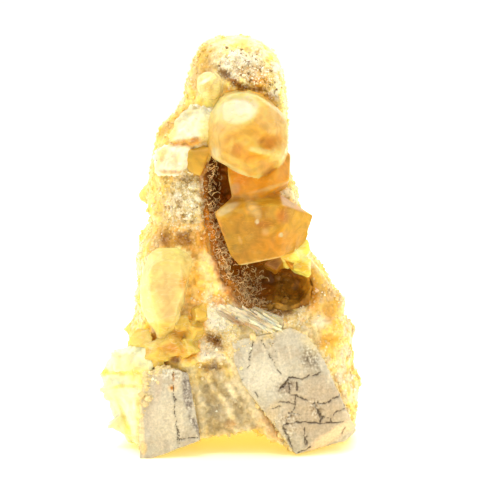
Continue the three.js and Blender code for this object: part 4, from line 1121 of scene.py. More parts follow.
# %% [markdown]
# ## Limestone
# The two feet are broken pieces of a fine grey limestone, split by thin dark cracks. A crack is both a
# groove and a stain, so the same lines move the points in and darken them. It wavers at two sizes, and
# is as wide as a hair in one place and half a millimetre in another.
# %% Cracks along lines on the front
def crack_share(points, lines, width=0.16):
    """1 on a crack and 0 away from it. A line is from x, z to x, z, and a crack wavers about it."""
    x = points[:, 0] + 0.4 * flutter(points, 1.6, 3) + 0.22 * flutter(points, 0.5, 5)
    z = points[:, 2] + 0.4 * flutter(points, 1.6, 4) + 0.22 * flutter(points, 0.5, 6)
    waver = 0.9 + 1.1 * flutter(points, 1.5, 8) + 0.6 * flutter(points, 0.4, 9)
    thickness = width * np.clip(waver, 0.15, 2.0)
    share = np.zeros(len(points))
    for x0, z0, x1, z1, scale in lines:
        along = np.array([x1 - x0, z1 - z0])
        t = np.clip(((x - x0) * along[0] + (z - z0) * along[1]) / (along @ along), 0, 1)
        distance = np.hypot(x - x0 - t * along[0], z - z0 - t * along[1])
        core = 1 - ramp(distance, 0.4 * thickness * scale, thickness * scale)
        halo = 0.12 * (1 - ramp(distance, 0.2, 0.8 * scale))
        share = np.maximum(share, np.maximum(core, halo))
    return share


# %% The cracks of each fragment
LEFT_CRACKS = [
    # from x and z, to x and z, how wide
    (-12.2, 19.6, -12.1, 14.0, 0.6), (-12.1, 13.6, -12.0, 9.8, 0.9), (-11.9, 9.2, -11.2, 2.0, 0.5),
    (-11.6, 7.0, -10.9, 3.0, 0.4), (-11.2, 4.2, -6.2, 4.6, 0.45),
]
RIGHT_CRACKS = [
    (10.9, 15.2, 12.7, 17.8, 1.7), (12.7, 17.8, 15.8, 17.4, 1.3), (15.8, 17.4, 19.8, 18.6, 1.3),
    (12.7, 17.4, 13.2, 14.4, 1), (13.4, 14.2, 17.0, 12.7, 1), (14.5, 16.4, 15.0, 15.0, 1.4),
    (14.5, 14.4, 13.9, 10.7, 0.8), (10.8, 12.6, 13.8, 12.0, 0.7), (18.1, 11.8, 20.8, 11.8, 1.3),
    (20.8, 11.8, 24.2, 13.2, 1), (18.5, 11.8, 20.1, 8.6, 1.8), (20.1, 8.6, 19.6, 7.4, 1.1),
    (22.2, 8.8, 25.8, 10.8, 0.9), (20.2, 8.9, 22.2, 8.4, 0.9), (22.1, 8.6, 22.3, 7.2, 0.9),
    (11.4, 7.2, 14.8, 8.2, 0.9), (14.8, 8.0, 18.5, 7.6, 1.1), (18.3, 7.5, 24.8, 7.2, 0.9),
    (11.6, 7.0, 12.8, 4.4, 1.8), (12.8, 4.4, 13.8, 2.0, 2), (16.0, 7.4, 16.4, 2.4, 0.8),
    (16.4, 4.4, 16.8, 3.0, 2.2), (15.1, 1.0, 17.6, 2.2, 0.9), (5.1, 26.6, 4.0, 20.1, 0.5),
    (7.0, 26.0, 11.0, 18.4, 0.45), (8.8, 25.6, 10.0, 22.4, 0.3), (13.9, 10.7, 12.1, 7.8, 0.6),
    (24.6, 4.2, 25.4, 6.0, 0.6), (1.8, 17.0, 3.0, 17.8, 0.7), (5.5, 14.8, 6.2, 13.8, 0.8),
    (12.6, 10.2, 15.6, 9.6, 0.4), (9.1, 11.2, 11.6, 11.8, 0.4),
]
PALE_STONE = screen(200, 191, 168)
DEEP_STONE = screen(184, 164, 136)
CRACK_GREY = screen(98, 82, 66)
GRANULAR_GREY = screen(156, 145, 132)
print("cracks:", len(LEFT_CRACKS), "left and", len(RIGHT_CRACKS), "right")

# %% [markdown]
# Limestone is dull and hardly lets light in, so it has the spar's finish with finer grains, more
# roughness and little glow. Its colour is streaked and peppered. Along its rim the tower's cream spar
# has grown onto it.
# %% How a fragment is made
AROUND_THE_STONES = ("calcite_matrix", "amber_crystals", "yellow_crystals_left")
STONE_CELL = 0.2
GROOVE_DEPTH = 0.4


def limestone(node, lines, speckled, patches):
    """A fragment with its grooved, dark cracks, speckled where the places say, and painted."""
    piece = remeshed(node, node + "_stone", STONE_CELL)
    here = points_of(piece)
    faces_front = 1 - ramp(here[:, 1], -11.2, -9.2)
    crack_depth = crack_share(here, lines) * faces_front
    above = ramp(here[:, 2], 0.2, 1.2)
    roughen(piece, above, swell=(5.0, 0.6), facet=(1.4, 0.2), grain=(0.45, 0.18))
    here = points_of(piece)
    here[:, 1] += GROOVE_DEPTH * crack_depth * above
    move_to(piece, here)
    clouds = flutter(here, 3.0, 9) + 0.6 * flutter(here, 0.8, 10)
    tone = blend(all_over(here, PALE_STONE), DEEP_STONE, 0.5 * ramp(clouds, -0.2, 0.6))
    streaks = flutter(here * np.array([3.0, 1.0, 0.6]), 2.4, 13)
    tone = blend(tone, screen(236, 222, 192), 0.4 * ramp(streaks, 0.0, 0.5))
    tone = paint(here, tone, patches)
    tone = tone * (1 + 0.08 * np.maximum(-0.9, flutter(here, 0.45, 14) * 1.6))[:, None]
    spar_gap = distance_to(here, AROUND_THE_STONES) + 1.4 * flutter(here, 1.8, 16)
    tone = blend(tone, CREAM, 0.75 * (1 - ramp(spar_gap, 0.8, 2.6)))
    write(piece, "tint", blend(tone, CRACK_GREY, 0.9 * crack_depth))
    write(piece, "grit", 0.1 + 0.75 * in_any(here, speckled))
    write(piece, "open", np.ones(len(here)))
    stone = spar_finish(node, scatter=0.12, depth=0.5, rough=0.72, grain_size=0.35, mottle=0.12)
    hand_over(piece, stone, "limestone", node)
    overgrow(piece, node + "_grains", 3.2, blend(tone, CREAM, 0.7), 51, others=AROUND_THE_STONES)


# %% The two fragments
limestone("limestone_left", LEFT_CRACKS, [
    ((-9.1, 14.2), (0.9, 4.6), 6), ((-7.4, 7.2), (0.7, 3.4), 29), ((-12.4, 18.4), (2.6, 1.2), 0),
], [
    ("grey left side", (-17.2, 12.0), (1.8, 7.0), -10, screen(206, 192, 168), 0.6),
    ("pink grey streak", (-15.6, 15.6), (0.7, 3.0), -8, screen(206, 186, 158), 0.6),
    ("cream middle", (-13.6, 8.0), (3.4, 5.0), 0, screen(228, 214, 182), 0.5),
    ("grey granular band", (-9.3, 14.2), (1.0, 4.6), 6, GRANULAR_GREY, 1.0, 0.3),
    ("grey granular band, lower", (-7.5, 7.2), (0.7, 3.6), 29, GRANULAR_GREY, 0.95, 0.3),
    ("grey green spar beside the band", (-6.8, 13.4), (1.2, 3.6), 12, screen(190, 176, 140), 0.7),
    ("ring of the rust spot", (-12.6, 15.6), (0.9, 0.8), 0, screen(238, 206, 158), 0.8),
    ("rust spot", (-12.6, 15.6), (0.45, 0.4), 0, screen(176, 110, 34), 1.0),
    ("rust specks above it", (-12.3, 18.2), (0.3, 1.0), 0, screen(186, 122, 40), 0.7),
    ("peach left rim", (-19.5, 8.0), (0.6, 7.0), 4, screen(250, 228, 172), 0.7),
    ("amber foot", (-18.9, 2.2), (0.7, 1.4), 0, screen(240, 200, 120), 0.6),
])
limestone("limestone_right", RIGHT_CRACKS, [
    ((17.6, 21.6), (1.9, 2.8), 24), ((12.4, 15.8), (2.4, 1.5), 30), ((18.6, 10.6), (1.4, 2.2), 20),
    ((13.0, 5.4), (1.0, 2.8), -20), ((12.6, 8.6), (3.0, 1.2), 0),
], [
    ("darker broken face", (18.7, 10.0), (7.5, 6.5), -30, screen(192, 170, 138), 0.75),
    ("white sugar on the face", (7.4, 18.0), (4.2, 3.2), 20, screen(232, 222, 194), 0.65, 0.8),
    ("grey top edge", (13.0, 26.4), (3.6, 1.2), 14, screen(196, 186, 164), 0.6),
    ("grey smudge at the top", (17.4, 22.0), (1.6, 2.2), 30, screen(134, 120, 100), 0.75, 0.8),
    ("spar over the corner", (18.6, 25.4), (2.6, 2.4), -40, screen(220, 204, 160), 0.9, 0.6),
    ("grey smudge beside it", (18.8, 19.4), (1.0, 2.4), 10, screen(160, 148, 126), 0.6, 0.8),
    ("dark junction", (12.3, 15.9), (2.0, 1.0), 30, screen(142, 124, 104), 0.75, 0.8),
    ("tan left side", (9.0, 9.6), (1.4, 3.4), -30, screen(216, 192, 148), 0.6),
    ("cream facet", (22.8, 4.4), (6.5, 1.5), 28, screen(236, 208, 166), 0.95),
])

# %% [markdown]
# ## The large crystals
# A grown crystal has flat faces that meet in crisp but not knife-sharp edges. A bevel wears the edges
# down, and a finer net of triangles lets the faces take a slight waviness and painted clouds. The
# sharpest edges catch the light, so points near them are painted a little lighter.
# %% A crystal with worn edges and a fine net
FLAT_ENOUGH, WORN_FROM, SHARP_FROM = (math.radians(degrees) for degrees in (3, 14, 28))


def crystal_mesh(node, wear, net):
    """The piece, and the segments of its sharp edges in millimetres."""
    piece = joined_copy(node, node + "_grown")
    shape = bmesh.new()
    shape.from_mesh(piece.data)
    bmesh.ops.dissolve_limit(shape, angle_limit=FLAT_ENOUGH, verts=shape.verts, edges=shape.edges)
    worn = [e for e in shape.edges if e.is_manifold and e.calc_face_angle() > WORN_FROM]
    sharp = [e for e in worn if e.calc_face_angle() > SHARP_FROM and e.is_convex]
    segments = np.array([[e.verts[0].co / MM, e.verts[1].co / MM] for e in sharp])
    if wear:
        bmesh.ops.bevel(shape, geom=worn, offset=wear * MM, segments=2, profile=0.6, affect="EDGES",
                        clamp_overlap=True)
    bmesh.ops.triangulate(shape, faces=shape.faces)
    for _ in range(8):
        long_edges = [e for e in shape.edges if e.calc_length() > net * MM]
        if not long_edges:
            break
        bmesh.ops.subdivide_edges(shape, edges=long_edges, cuts=1)
        bmesh.ops.triangulate(shape, faces=[f for f in shape.faces if len(f.verts) > 3])
    shape.to_mesh(piece.data)
    shape.free()
    for face in piece.data.polygons:
        face.use_smooth = True
    return piece, segments


def edge_share(points, segments, width):
    """1 on a sharp edge, falling to 0 at that many millimetres from it."""
    nearest = np.full(len(points), 1e9)
    for start, end in segments:
        along = end - start
        t = np.clip((points - start) @ along / (along @ along), 0, 1)
        nearest = np.minimum(nearest, np.linalg.norm(points - start - t[:, None] * along, axis=1))
    return 1 - ramp(nearest, 0.2 * width, width)


# %% [markdown]
# Clear calcite is neither glass nor milk. Light passes through it and is scattered in it as well, so
# the finish mixes transmission with subsurface scattering, and a little is absorbed on the way. Inside
# are clouds, wisps of a paler veil, and flaws, which are thin bright lines where it has cracked. One
# face is polished flat, and a thin coat mirrors the lamp there.
# %% The finish of clear and cloudy crystal
WARM_VEIL = (1.0, 0.93, 0.75, 1.0)
FLAW_WIDTH, FLAW_STRENGTH = 0.018, 0.5
COAT_ROUGHNESS = 0.16


def crystal_finish(name, absorb, density, clear, rough=0.1, cloud_size=3.0, veil=WARM_VEIL, veil_share=0.3,
                   depth=1.2, shine=0.25):
    """Half-clear crystal with clouds, wisps and flaws inside, and a coat where it is polished."""
    finish, tree, shader, place = new_finish(name)
    cloud = noise_at(tree, place, cloud_size, 5.0, 1.2)
    tint = scaled(tree, attribute(tree, "tint", "Color"), between(tree, cloud, 0.35, 0.65, 0.8, 1.12))
    stretched = put(tree, "ShaderNodeMapping", {
        "Vector": place, "Scale": (1.0, 1.0, 3.2), "Rotation": (0.3, 0.7, 0.2),
    }).outputs[0]
    wisp = between(tree, noise_at(tree, stretched, cloud_size * 0.8, 6.0, 0.6), 0.55, 0.75, 0.0, veil_share)
    flaw = noise_at(tree, stretched, cloud_size * 1.3, 1.5, 0.7)
    off_flaw = reckoned(tree, "ABSOLUTE", reckoned(tree, "SUBTRACT", flaw, 0.5))
    tint = mixed(tree, between(tree, off_flaw, 0.0, FLAW_WIDTH, FLAW_STRENGTH, 0.0), tint, veil)
    tree.links.new(mixed(tree, wisp, tint, veil), shader.inputs["Base Color"])
    bumps(tree, shader, 0.25, 0.12, noise_at(tree, place, 1.4, 3.0))
    shader.inputs["Roughness"].default_value = rough
    shader.inputs["Transmission Weight"].default_value = clear
    glow_inside(tree, shader, 1.0, depth)
    shader.inputs["IOR"].default_value = LOW_INDEX
    shader.inputs["Specular IOR Level"].default_value = shine
    tree.links.new(attribute(tree, "polish"), shader.inputs["Coat Weight"])
    shader.inputs["Coat IOR"].default_value = HIGH_INDEX
    shader.inputs["Coat Roughness"].default_value = COAT_ROUGHNESS
    volume = put(tree, "ShaderNodeVolumeAbsorption", {"Color": absorb, "Density": density})
    tree.links.new(volume.outputs[0], tree.nodes["Material Output"].inputs["Volume"])
    return finish


# %% Seven kinds of crystal
LETS_HONEY, LETS_STRAW, LETS_YELLOW = (0.99, 0.82, 0.40, 1), (1.0, 0.93, 0.66, 1), (1.0, 0.95, 0.55, 1)
LETS_WHITE, LETS_CREAM = (1.0, 0.97, 0.85, 1), (1.0, 0.95, 0.85, 1)  # the colours that they let through

honey = crystal_finish("honey calcite", LETS_HONEY, density=60, clear=0.5, rough=0.3,
                       veil=screen(255, 208, 60), veil_share=0.2, shine=0.05)
pale = crystal_finish("pale calcite", LETS_STRAW, density=40, clear=0.3, veil=screen(255, 244, 190))
lemon = crystal_finish("yellow calcite", LETS_YELLOW, density=40, clear=0.2, rough=0.25,
                       veil=screen(255, 253, 214))
white = crystal_finish("white calcite", LETS_WHITE, density=30, clear=0.2, rough=0.3, cloud_size=1.6)
colourless = crystal_finish("clear calcite", LETS_CREAM, density=30, clear=0.5, rough=0.15, depth=0.3)
bladed = crystal_finish("bladed calcite", LETS_CREAM, density=30, clear=0.15, rough=0.25, depth=0.2)
milky = crystal_finish("round calcite", LETS_STRAW, density=40, clear=0.1, rough=0.15, depth=0.4,
                       cloud_size=1.5)
print("crystal finishes:", [kind.name for kind in (honey, pale, lemon, white, colourless, bladed, milky)])


# %% A crystal in its seat, and one with flat faces
EDGE_WIDTH = 0.45


def seat(piece, *own):
    """Draws a crystal onto the pieces that it grew against, and notes where it is open to the air."""
    others = [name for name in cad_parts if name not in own]
    close_gap(piece, others, reach=1.3, sink=0.1)
    write(piece, "open", ramp(distance_to(points_of(piece), others), 0.25, 1.1))


def crystal(node, finish, slot, base, edge_colour, patches=(), wear=0.3, net=0.7, waves=0.3,
            edge_strength=0.35):
    """A faceted crystal: its mesh, a slight waviness, its painted colours and bright edges."""
    piece, segments = crystal_mesh(node, wear, net)
    roughen(piece, 1.0, swell=(3.5, waves), facet=(2.0, 0.0), grain=(0.9, 0.05))
    seat(piece, node)
    here = points_of(piece)
    edges = edge_strength * edge_share(here, segments, EDGE_WIDTH)
    write(piece, "tint", blend(paint(here, base, patches), edge_colour, edges))
    hand_over(piece, finish, slot, node)


# %% [markdown]
# Most of the crystals are rounded, as if half melted. Such a solid gets a fine even net, and the net is
# smoothed so that no facet of the solid shows. The three honey crystals grew into each other, so their
# nets are swollen by half the gap between the solids and fused, and so are those of the two white ones.
# %% Melted crystals, and crystals that grew into each other
def melted(node, cell, times_smoothed):
    """The solid as an even net, smoothed that many times."""
    return smoothed(remeshed(node, node + "_grown", cell), times_smoothed)


def marbled(points, colours, light, dark, seed):
    """Wisps of light and dark colour that wind through a crystal."""
    bent = points + 1.4 * np.column_stack([flutter(points, 3.0, seed + k) for k in (1, 2, 3)])
    wisp = flutter(bent * np.array([1.0, 1.0, 1.6]), 2.6, seed) + 0.3 * flutter(bent, 0.9, seed + 4)
    colours = blend(colours, light, 0.6 * ramp(wisp, 0.08, 0.5))
    return blend(colours, dark, 0.5 * ramp(-wisp, 0.12, 0.5))


def grown_together(name, nodes, smoothing, cell=0.3, swollen=0.17):
    """These solids as one piece, and for each point the place in the list of the solid it is of."""
    parts = [melted(node, cell, count) for node, count in zip(nodes, smoothing)]
    for part in parts:
        move_to(part, points_of(part) + swollen * normals_of(part))
    piece = smoothed(fused(parts, name, cell), 3)
    return piece, np.argmin([distance_to(points_of(piece), [node]) for node in nodes], axis=0)


def rounded_crystal(node, finish, slot, base, patches, smoothing=6, swell=1.0, cell=0.4, folds=0.0):
    """A melted crystal: its net, its low swells and folds, and its painted colours."""
    piece = melted(node, cell, smoothing)
    roughen(piece, 1.0, swell=(4.5, swell), facet=(2.0, folds), grain=(1.2, 0.12))
    seat(piece, node)
    write(piece, "tint", paint(points_of(piece), base, patches))
    hand_over(piece, finish, slot, node)


# %% [markdown]
# The upper honey crystal has dents with light ridges between them, and near its top a flat face that
# mirrors the lamp. The dents are pushed into its front and the ridges drawn out. Where the face is,
# each point is moved onto one leaning plane. Both are ovals, like the patches of colour.
# %% Dents and a flat face
def press(piece, dents, share=1.0):
    """Pushes oval dents into the front of a piece, or draws it out where the depth is negative."""
    here = points_of(piece)
    faces_front = share * ramp(-normals_of(piece)[:, 1], 0.0, 0.5)
    for name, centre, half_size, turn, depth in dents:
        here[:, 1] += depth * faces_front * patch(here, centre, half_size, turn, soft=0.8, rag=0.15)
    move_to(piece, here)


def flatten(piece, centre, half_size, turn, lean, share=1.0):
    """Makes an oval of the front flat. It leans back by so much for each millimetre right and up."""
    here = points_of(piece)
    there = share * ramp(-normals_of(piece)[:, 1], 0.0, 0.3) * patch(here, centre, half_size, turn, 0.3, 0.1)
    slope = lean[0] * (here[:, 0] - centre[0]) + lean[1] * (here[:, 2] - centre[1])
    level = np.average(here[:, 1] - slope, weights=there)
    here[:, 1] += there * (level + slope - here[:, 1])
    move_to(piece, here)
    return there


# %% Fuse and shape the honey crystals
HONEY_CLUSTER = ("honey_crystal_upper", "honey_crystals_lower", "wedge_crystal")
honey_cluster, whose = grown_together("honey_cluster", HONEY_CLUSTER, (20, 1, 1))
is_upper, is_lower = (whose == 0).astype(float), (whose == 1).astype(float)
roughen(honey_cluster, 0.35 + 0.65 * is_upper, swell=(4.5, 0.7), facet=(2.0, 0.0), grain=(1.2, 0.12))
press(honey_cluster, [
    ("swirl", (1.9, 68.2), (1.5, 2.2), -50, 1.1),
    ("arc over the swirl", (0.2, 70.2), (2.4, 0.8), 24, 0.6),
    ("under the swirl", (4.4, 66.2), (2.8, 0.8), -10, 0.5),
    ("dark dent", (9.0, 69.6), (2.9, 1.6), 4, 1.4),
    ("oval dent", (8.1, 63.6), (1.9, 1.8), -10, 1.2),
    ("ridge", (7.6, 67.2), (3.4, 0.6), -12, -0.8),
    ("bright shoulder", (10.4, 65.8), (1.6, 1.6), 0, -0.5),
    ("lip", (0.8, 63.6), (4.8, 0.7), -29, -0.6),
], is_upper)
lit = flatten(honey_cluster, (1.7, 75.9), (4.4, 3.3), 8, (-0.18, 0.82), is_upper)
press(honey_cluster, [
    ("light left facet", (-0.2, 54.6), (2.4, 1.0), 28, 0.5),
    ("cloudy hollow", (5.0, 54.4), (1.6, 1.4), -30, 0.4),
], is_lower)
here = points_of(honey_cluster)
print("honey crystals:", triangles(honey_cluster), "triangles, polished share", round(float(lit.mean()), 3))

# %% [markdown]
# Each of the three has its own ground colour, marbled with lighter and darker honey. Over it come the
# clouds, bubbles and streaks that are seen inside, and painted highlights and painted shade: light on the
# top, the ridges, lips and edges, and dark in the dents, as they would show if the crystal were clearer
# than the finish can be.
# %% Paint the honey crystals, from their ground colours up
HONEY_GROUNDS = np.array([screen(252, 214, 112), screen(216, 166, 44), screen(244, 196, 84)])
LESS_BLUE = np.array([1.0, 1.0, 0.75])  # what the ground colours are multiplied by

honey_colours = HONEY_GROUNDS[whose][:, :3]
light_upper = marbled(here, honey_colours, screen(255, 240, 150), screen(242, 184, 70), 3)
honey_colours = blend(honey_colours, light_upper, is_upper)
gold_lower = marbled(here, honey_colours, screen(240, 208, 96), screen(184, 130, 20), 9)
honey_colours = blend(honey_colours, gold_lower, is_lower) * LESS_BLUE
print("honey points:", [int(np.sum(whose == i)) for i in range(len(HONEY_CLUSTER))])

# %% What shows on and in the upper crystal, its painted highlights and painted shade too
VERY_LIGHT = np.array([1.1, 1.2, 1.1, 1.0])  # what a colour is multiplied by where light falls on it

honey_colours = paint(here, honey_colours, [
    ("yellow left", (-2.4, 71.6), (2.2, 5.0), 0, screen(254, 230, 150), 0.6, 0.8),
    # the next three are painted highlights on the top
    ("lemon top left", (0.8, 76.4), (5.0, 3.2), 14, VERY_LIGHT * screen(252, 248, 176), 0.95, 0.6),
    ("white light on the top", (3.2, 76.8), (2.6, 2.0), 8, VERY_LIGHT * screen(252, 255, 206), 1.0, 0.5),
    ("white streak below it", (2.2, 74.4), (3.6, 0.8), 24, VERY_LIGHT * screen(252, 250, 186), 0.9, 0.6),
    ("peach right shoulder", (9.0, 74.2), (3.2, 3.8), -10, screen(253, 220, 136), 0.9, 0.25),
    ("rosy band", (-0.2, 72.8), (3.2, 1.0), 10, screen(252, 216, 136), 0.7, 0.7),
    ("honey middle", (5.2, 71.0), (2.6, 2.0), 0, screen(252, 212, 100), 0.8),
    # painted shade in the swirl and the dents, and painted highlights on the light and bright ridges, lips,
    # corner and rim
    ("arc over the swirl", (0.2, 70.2), (2.4, 0.7), 24, screen(226, 184, 92), 0.7, 0.8),
    ("swirl", (1.6, 68.0), (1.3, 1.7), -50, screen(216, 158, 62), 0.85, 0.8),
    ("light curl round the swirl", (0.2, 68.4), (0.5, 1.8), -10, screen(255, 226, 124), 0.9, 0.5),
    ("orange under the swirl", (4.2, 66.6), (3.2, 1.1), -8, screen(248, 184, 54), 0.85, 0.8),
    ("yellow under the orange", (1.6, 64.9), (3.6, 0.8), -26, screen(254, 220, 120), 0.9, 0.5),
    ("dark dent", (9.4, 69.6), (3.0, 1.9), 4, screen(238, 184, 80), 0.85, 0.7),
    ("darker tip of the dent", (6.9, 69.7), (0.8, 0.5), 30, screen(206, 146, 50), 0.7, 0.8),
    ("bright ridge", (7.6, 67.3), (3.2, 0.5), -12, screen(255, 240, 150), 0.95, 0.4),
    ("bright shoulder", (10.2, 66.0), (2.2, 1.9), 20, screen(254, 232, 136), 0.9, 0.4),
    ("oval dent", (8.1, 63.7), (1.9, 1.8), -10, screen(232, 188, 98), 0.9, 0.5),
    ("bright lip", (0.8, 63.5), (5.0, 0.6), -29, screen(255, 244, 168), 0.95, 0.4),
    ("lower lip", (6.8, 61.6), (3.4, 0.5), 0, screen(255, 234, 136), 0.9, 0.4),
    ("white corner of the lip", (-3.0, 66.8), (1.0, 1.3), 0, screen(255, 248, 196), 0.9, 0.5),
    ("bright right rim", (12.0, 68.4), (0.8, 7.0), 0, screen(255, 234, 146), 0.85, 0.5),
], is_upper)

# %% What shows on and in the lower crystals, their painted highlights and painted shade too
honey_colours = paint(here, honey_colours, [
    # painted glow: the right face is painted lighter, as light comes through it
    ("light gold of the right", (14.4, 51.0), (4.4, 4.6), 0, screen(250, 198, 30), 0.8, 0.7),
    ("orange of the lower right", (10.4, 47.0), (5.4, 2.6), 14, screen(240, 174, 30), 0.75, 0.7),
    ("orange rim of the left", (-2.2, 50.4), (0.7, 4.4), 18, screen(244, 174, 64), 0.8, 0.6),
    ("olive centre", (2.8, 49.4), (3.8, 4.4), 0, screen(210, 166, 48), 0.5, 0.8),
    ("dark left corner of the top", (0.8, 56.4), (1.6, 0.7), 24, screen(170, 124, 50), 0.8, 0.5),
    # a painted highlight on the left facet
    ("light left facet", (-0.4, 54.6), (2.6, 0.7), 28, screen(246, 228, 166), 0.9, 0.5),
    ("brown in the middle", (7.4, 51.6), (1.4, 0.8), 0, screen(196, 130, 34), 0.8, 0.6),
    ("orange spot", (11.4, 53.4), (1.1, 1.6), 0, screen(222, 144, 40), 0.8, 0.6),
    ("cloud", (5.0, 55.0), (1.5, 1.0), -40, screen(248, 228, 150), 0.75, 0.8),
    ("lower end of the cloud", (6.0, 53.6), (0.7, 0.7), 0, screen(240, 214, 130), 0.8, 0.5),
    # painted shade: this facet is painted darker, because so much light falls on it
    ("top right facet", (14.2, 55.8), (4.8, 1.5), -26, screen(206, 152, 44), 0.9, 0.3),
    # the next two are painted highlights along the edges
    ("top edge", (6.0, 57.2), (4.6, 0.3), 0, screen(240, 196, 90), 0.8, 0.5),
    ("pale lower edge", (6.4, 43.4), (5.4, 0.3), 12, screen(252, 224, 150), 0.9, 0.5),
    # the bubbles' white is a painted highlight
    ("bubble", (11.1, 49.3), (0.45, 0.45), 0, screen(255, 250, 206), 0.95, 0.3),
    ("glow of the bubble", (12.0, 49.4), (0.9, 0.7), 0, screen(226, 176, 76), 0.5, 0.5),
    ("second bubble", (5.9, 52.3), (0.35, 0.5), 0, screen(255, 248, 200), 0.95, 0.4),
    ("small cloud", (7.8, 50.0), (0.7, 0.7), 0, screen(244, 204, 120), 0.75, 0.6),
    ("streak", (2.2, 48.2), (0.3, 0.8), 24, screen(244, 206, 110), 0.8, 0.5),
    ("orange of the middle crystal", (5.8, 61.0), (8.0, 3.8), 0, screen(252, 184, 22), 0.9, 0.2),
    ("deep orange in it", (2.4, 61.4), (1.6, 2.2), 0, screen(242, 156, 12), 0.8, 0.8),
    ("light right end of it", (11.2, 63.2), (1.6, 3.0), -10, screen(252, 192, 80), 0.85, 0.6),
    # a painted highlight along the left edge of the middle crystal
    ("bright left edge of it", (-0.5, 61.0), (0.5, 3.4), 12, screen(255, 222, 130), 0.9, 0.5),
    ("grey facet of it", (1.0, 58.9), (1.1, 1.2), -30, screen(226, 188, 120), 0.8, 0.4),
    ("light band of it", (8.8, 59.2), (4.0, 0.35), 14, screen(255, 216, 110), 0.9, 0.5),
], is_lower)
write(honey_cluster, "tint", honey_colours)

# %% Polish the flat face, and seat the honey crystals
glassy = ramp(flutter(here * np.array([1.0, 1.0, 1.6]), 1.6, 37) + 0.4 * flutter(here, 0.6, 38), -0.35, 0.45)
write(honey_cluster, "polish", lit * (0.1 + 0.36 * glassy * ramp(here[:, 2], 73.2, 76.4)))
seat(honey_cluster, *HONEY_CLUSTER)
hand_over(honey_cluster, honey, "honey_calcite", *HONEY_CLUSTER)

# %% [markdown]
# The round crystal near the top is milky. The amber ones and the two groups of yellow ones are bundles
# of blunt crystals, painted almost white along their crests where the light falls, with painted amber shade
# in the folds and corners. The two that hang from the roof of the hollow are honey and brown.
# %% The round, the amber and the yellow crystals, and those of the roof
rounded_crystal("round_crystal", milky, "pale_calcite", screen(252, 228, 156), [
    ("middle", (-4.6, 80.8), (1.2, 1.2), 0, screen(236, 200, 116), 0.8),
    ("light line", (-5.4, 82.0), (1.2, 0.3), 30, screen(255, 252, 226), 0.8),
], smoothing=3, swell=0.5, cell=0.3)
rounded_crystal("amber_crystals", pale, "honey_calcite", screen(252, 212, 100), [
    # painted highlights on the knobs
    ("bright knobs", (-7.2, 24.0), (2.6, 2.8), 0, screen(255, 226, 122), 0.6),
    ("flat face", (-18.8, 24.6), (3.4, 2.0), 20, screen(255, 224, 124), 0.7),
    ("orange rim of the flat face", (-19.0, 22.8), (3.4, 0.5), 24, screen(244, 186, 70), 0.7),
    # painted shade in the corner and under the tip
    ("dark corner", (-12.8, 24.2), (1.5, 1.2), 0, screen(214, 146, 44), 0.8),
    ("shade under the tip", (-11.0, 27.2), (1.4, 1.0), 0, screen(206, 134, 36), 0.6),
    ("orange middle", (-10.0, 22.6), (2.0, 1.2), 0, screen(236, 172, 60), 0.5),
], smoothing=6, swell=1.0, cell=0.3, folds=0.3)
rounded_crystal("yellow_crystals_left", lemon, "yellow_calcite", screen(255, 253, 206), [
    ("deeper straw", (-20.0, 18.0), (2.6, 2.2), 10, screen(255, 230, 120), 0.7),
    ("straw along the stone", (-19.4, 9.0), (1.3, 8.0), 0, screen(255, 228, 120), 0.8),
    # the folds are painted shade
    ("first fold", (-23.0, 17.8), (5.4, 0.5), 12, screen(255, 226, 84), 0.8),
    ("second fold", (-23.0, 14.9), (3.6, 0.4), 11, screen(255, 232, 104), 0.7),
    ("lemon tip", (-28.0, 17.0), (1.2, 0.8), 0, screen(248, 226, 70), 0.8),
    ("third fold", (-23.6, 7.4), (0.5, 4.0), 24, screen(255, 234, 110), 0.6),
    ("lemon foot", (-22.8, 4.2), (1.0, 2.8), 12, screen(255, 228, 84), 0.6),
], smoothing=10, swell=1.6, folds=0.6)
rounded_crystal("yellow_crystals_right", lemon, "yellow_calcite", screen(255, 234, 108), [
    # a painted highlight on the ridge
    ("bright ridge", (15.6, 44.0), (0.7, 4.0), 38, screen(255, 248, 160), 0.9),
    ("amber left", (12.6, 44.4), (0.9, 2.4), 0, screen(250, 196, 56), 0.8),
    ("lemon right", (16.8, 45.6), (1.0, 2.2), 0, screen(255, 232, 100), 0.7),
    ("amber under it", (15.6, 41.6), (2.0, 1.0), -20, screen(246, 196, 60), 0.7),
], smoothing=14, swell=1.2, cell=0.3, folds=0.3)
rounded_crystal("roof_crystals", honey, "honey_calcite", screen(246, 176, 44), [
    ("brown round one", (8.6, 41.4), (2.4, 2.4), 0, screen(160, 102, 20), 0.9),
], smoothing=6, swell=0.6, cell=0.3)

# %% [markdown]
# The pale crystal and the bladed ones are faceted, and keep the flat faces of their solids. The first
# has a peach window under a yellow hood. The others are clear laths across the sill of the hollow.
# %% The faceted crystals
WHITE_EDGE = screen(255, 252, 226)
crystal("pale_crystal", pale, "pale_calcite", screen(255, 230, 146), WHITE_EDGE, [
    ("peach window", (-13.6, 36.6), (3.4, 6.4), 0, screen(254, 218, 146), 0.85),
    ("yellow hood", (-14.1, 44.8), (4.8, 1.6), 0, screen(255, 236, 140), 0.8),
    ("light left bevel", (-18.4, 38.5), (1.0, 6.0), 8, screen(252, 228, 148), 0.8),
    ("amber tip", (-14.2, 28.2), (2.4, 2.2), 0, screen(250, 208, 96), 0.9),
    ("orange spot", (-10.2, 38.8), (0.8, 1.1), 0, screen(240, 174, 56), 0.8),
], wear=0.9, waves=0.6, edge_strength=0.12)
crystal("bladed_crystals", colourless, "clear_calcite", screen(240, 224, 180), WHITE_EDGE, wear=0.08, net=0.5)
